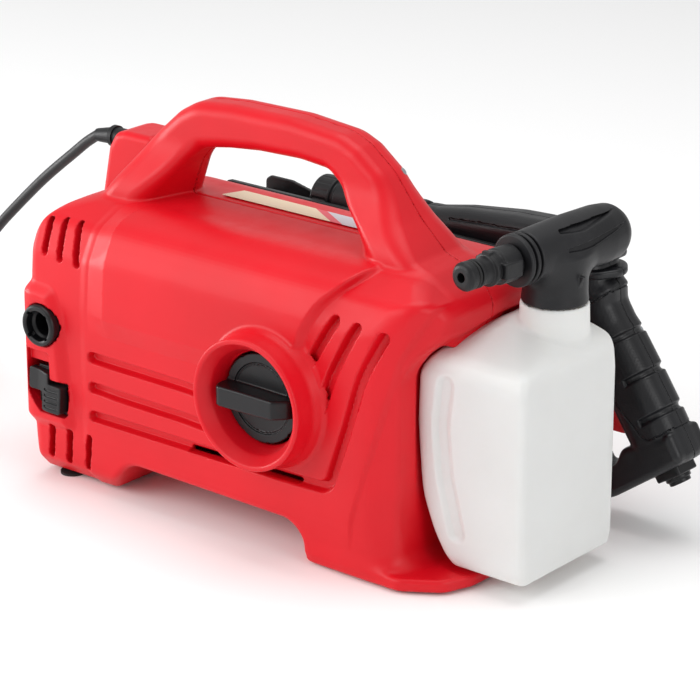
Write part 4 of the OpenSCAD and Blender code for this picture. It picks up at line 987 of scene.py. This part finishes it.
shaped("gun_barrel_form", barrel_field, (-70, 82, 142), (88, 118, 178), voxel(0.7), 20000,
       BLACK, "gun", ["gun_barrel"])


def stub_field(x, y, z):
    """Square block with a bored nipple for the hose."""
    a, b = grip_place(x, z)
    r = np.hypot(b - 20, y - GUN_Y)
    block = overlap(overlap(np.abs(b - 20) - 9.6, np.abs(y - GUN_Y) - 9.6, 2), slab(a, 108, 118), 1)
    neck = overlap(r - 8, slab(a, 93, 120.4), 0.8)
    tip = overlap(r - 6.8, slab(a, 100, 122.9), 0.8)
    return np.maximum(np.minimum(np.minimum(block, neck), tip), 3 - r)


shaped("gun_inlet_form", stub_field, (150, 84, 20), (222, 116, 100), voxel(0.55), 9000,
       SMOOTH_BLACK, "gun", ["gun_inlet"])
for node_name in ("trigger_lock", "strain_relief", "plug_body"):
    give(node_name, BLACK)
give("cord_tie", RUBBER)


# ---------- cradle of the gun ----------
CRADLE_FLOOR, CRADLE_REAR = 144.0, 113.0
RIB_PITCH, SLOT_PITCH = 14, 30
cradle_wall = Drawn([
    (-126, 156, 3), (-127, 161, 2.4), (-123, 164.8, 2.6), (96, 164.8, 2), (96, 128, 2), (-108, 128, 4),
    (-112, 148, 6), (-120, 153, 5)])
cradle_rim = Drawn([(-124, 158.4), (-124, 163.4, 1.5), (95, 163.4)], 1.3)
cradle_tab = Drawn([
    (-122, 141), (-122, 158, 4), (-118, 160.5, 3), (-100, 160.5, 10), (-80, 156, 3), (-76, 141)])
cradle_rib = Drawn([
    (REAR_Y, 128), (CRADLE_REAR, 141.6), (CRADLE_REAR, CRADLE_FLOOR), (REAR_Y, CRADLE_FLOOR)])


def in_row(x, first, pitch, half):
    """Equal bars across x, a pitch apart, one of them with its middle at first."""
    return np.abs(np.mod(x - first + pitch / 2, pitch) - pitch / 2) - half


def cradle_field(x, y, z):
    """Back wall with a rim, a slotted floor on ribs, an end, a tab, and three pegs into the casing."""
    wall = overlap(cradle_wall(x, z), slab(y, 74.9, 77.4), 0.5)
    rim = overlap(cradle_rim(x, z), slab(y, 74.9, 79.6), 0.8)
    width = slab(y, REAR_Y, CRADLE_REAR)
    floor = overlap(slab(x, -122, 16), np.maximum(width, slab(z, 141.6, CRADLE_FLOOR)), 0.4)
    end = overlap(slab(x, -122, -119.6), np.maximum(width, slab(z, 141.6, 151)), 0.4)
    tab = overlap(cradle_tab(x, z), slab(y, 110.6, CRADLE_REAR), 0.5)
    ribs = np.maximum(in_row(x, -98.8, RIB_PITCH, 1.2), np.maximum(slab(x, -101, 41), cradle_rib(y, z)))
    body = unite(unite(wall, rim, 0.6), floor, 1)
    body = unite(unite(body, end, 1), tab, 1)
    body = unite(body, ribs, 0.8)
    slots = np.maximum(in_row(x, -55, SLOT_PITCH, 5), slab(x, -61, 11))
    body = np.maximum(body, -np.maximum(slots, np.maximum(np.abs(y - GUN_Y) - 8, slab(z, 138, 148))))
    for spot in (-90, 0, 80):
        body = np.minimum(body, np.maximum(np.hypot(x - spot, z - CRADLE_FLOOR + 8) - 2, slab(y, 59, 76)))
    return body


shaped("gun_cradle_form", cradle_field, (-130, 57, 124), (100, 116, 168), voxel(0.9), 36000,
       SMOOTH_BLACK, "washer", ["gun_cradle"])


# ---------- roof label ----------
LABEL_LEAN = 1.4
PINK_WIDTH = 0.009
SHARP = 0.0004


def label_material():
    """Cream on the left and silver on the right, with a leaning pink band between them."""
    material = moulded("label_print", srgb(232, 218, 188), srgb(226, 211, 180), rough=0.5, grain_depth=0.01)
    tree = material.node_tree
    shader = tree.nodes["Principled BSDF"]
    cream = shader.inputs["Base Color"].links[0].from_socket
    coords = next(n for n in tree.nodes if n.type == "TEX_COORD")
    axes = add(tree, "ShaderNodeSeparateXYZ")
    bend = add(tree, "ShaderNodeMath", operation="MULTIPLY")
    bend.inputs[1].default_value = LABEL_LEAN
    place = add(tree, "ShaderNodeMath", operation="ADD")
    tree.links.new(coords.outputs["Object"], axes.inputs["Vector"])
    tree.links.new(axes.outputs["Y"], bend.inputs[0])
    tree.links.new(axes.outputs["X"], place.inputs[0])
    tree.links.new(bend.outputs["Value"], place.inputs[1])
    border = (ORIGIN[0] + LABEL_LEAN * (20 + ORIGIN[1])) * MM
    last = cream
    for start, colour in ((border, srgb(222, 92, 104)), (border + PINK_WIDTH, srgb(202, 204, 210))):
        edge = add(tree, "ShaderNodeMapRange", **{"From Min": start, "From Max": start + SHARP})
        tree.links.new(place.outputs["Value"], edge.inputs["Value"])
        area = add(tree, "ShaderNodeMix", data_type="RGBA", B=colour)
        tree.links.new(edge.outputs["Result"], area.inputs["Factor"])
        tree.links.new(last, area.inputs["A"])
        last = area.outputs["Result"]
    tree.links.new(last, shader.inputs["Base Color"])
    return material


give("roof_label", label_material())


# ---------- floor and light ----------
def make_floor():
    """Plain pale floor."""
    bpy.ops.mesh.primitive_plane_add(size=12, location=(0, 0, 0))
    floor = bpy.context.object
    floor.name = "floor"
    material, tree, shader = new_material("floor_paper")
    shader.inputs["Base Color"].default_value = (0.93, 0.93, 0.93, 1)
    shader.inputs["Roughness"].default_value = 0.9
    floor.data.materials.append(material)


def soft_light(name, spot, aim, size, power):
    """A rectangular softbox at a spot, in metres, facing its aim."""
    data = bpy.data.lights.new(name, "AREA")
    data.shape = "RECTANGLE"
    data.size, data.size_y = size
    data.energy = power
    light = bpy.data.objects.new(name, data)
    light.location = spot
    light.rotation_euler = (Vector(aim) - Vector(spot)).to_track_quat("-Z", "Y").to_euler()
    bpy.context.scene.collection.objects.link(light)


def light_studio():
    """Even white surroundings and four softboxes."""
    world = bpy.data.worlds.new("studio")
    world.use_nodes = True
    background = world.node_tree.nodes["Background"]
    background.inputs["Color"].default_value = (1, 1, 1, 1)
    background.inputs["Strength"].default_value = 0.62
    bpy.context.scene.world = world
    soft_light("top_softbox", (0.0, 0.15, 1.7), (0, 0, 0.1), (1.4, 1.0), 12)
    soft_light("front_softbox", (-0.9, -2.0, 1.3), (0, 0, 0.12), (1.8, 1.4), 26)
    soft_light("left_softbox", (-1.7, -0.7, 0.35), (-0.05, 0, 0.12), (0.8, 0.6), 13)
    soft_light("side_softbox", (1.9, -0.3, 0.8), (0.1, 0, 0.1), (0.9, 1.1), 8)


make_floor()
light_studio()
bpy.context.scene.view_settings.view_transform = "Standard"

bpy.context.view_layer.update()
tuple(cord_exit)
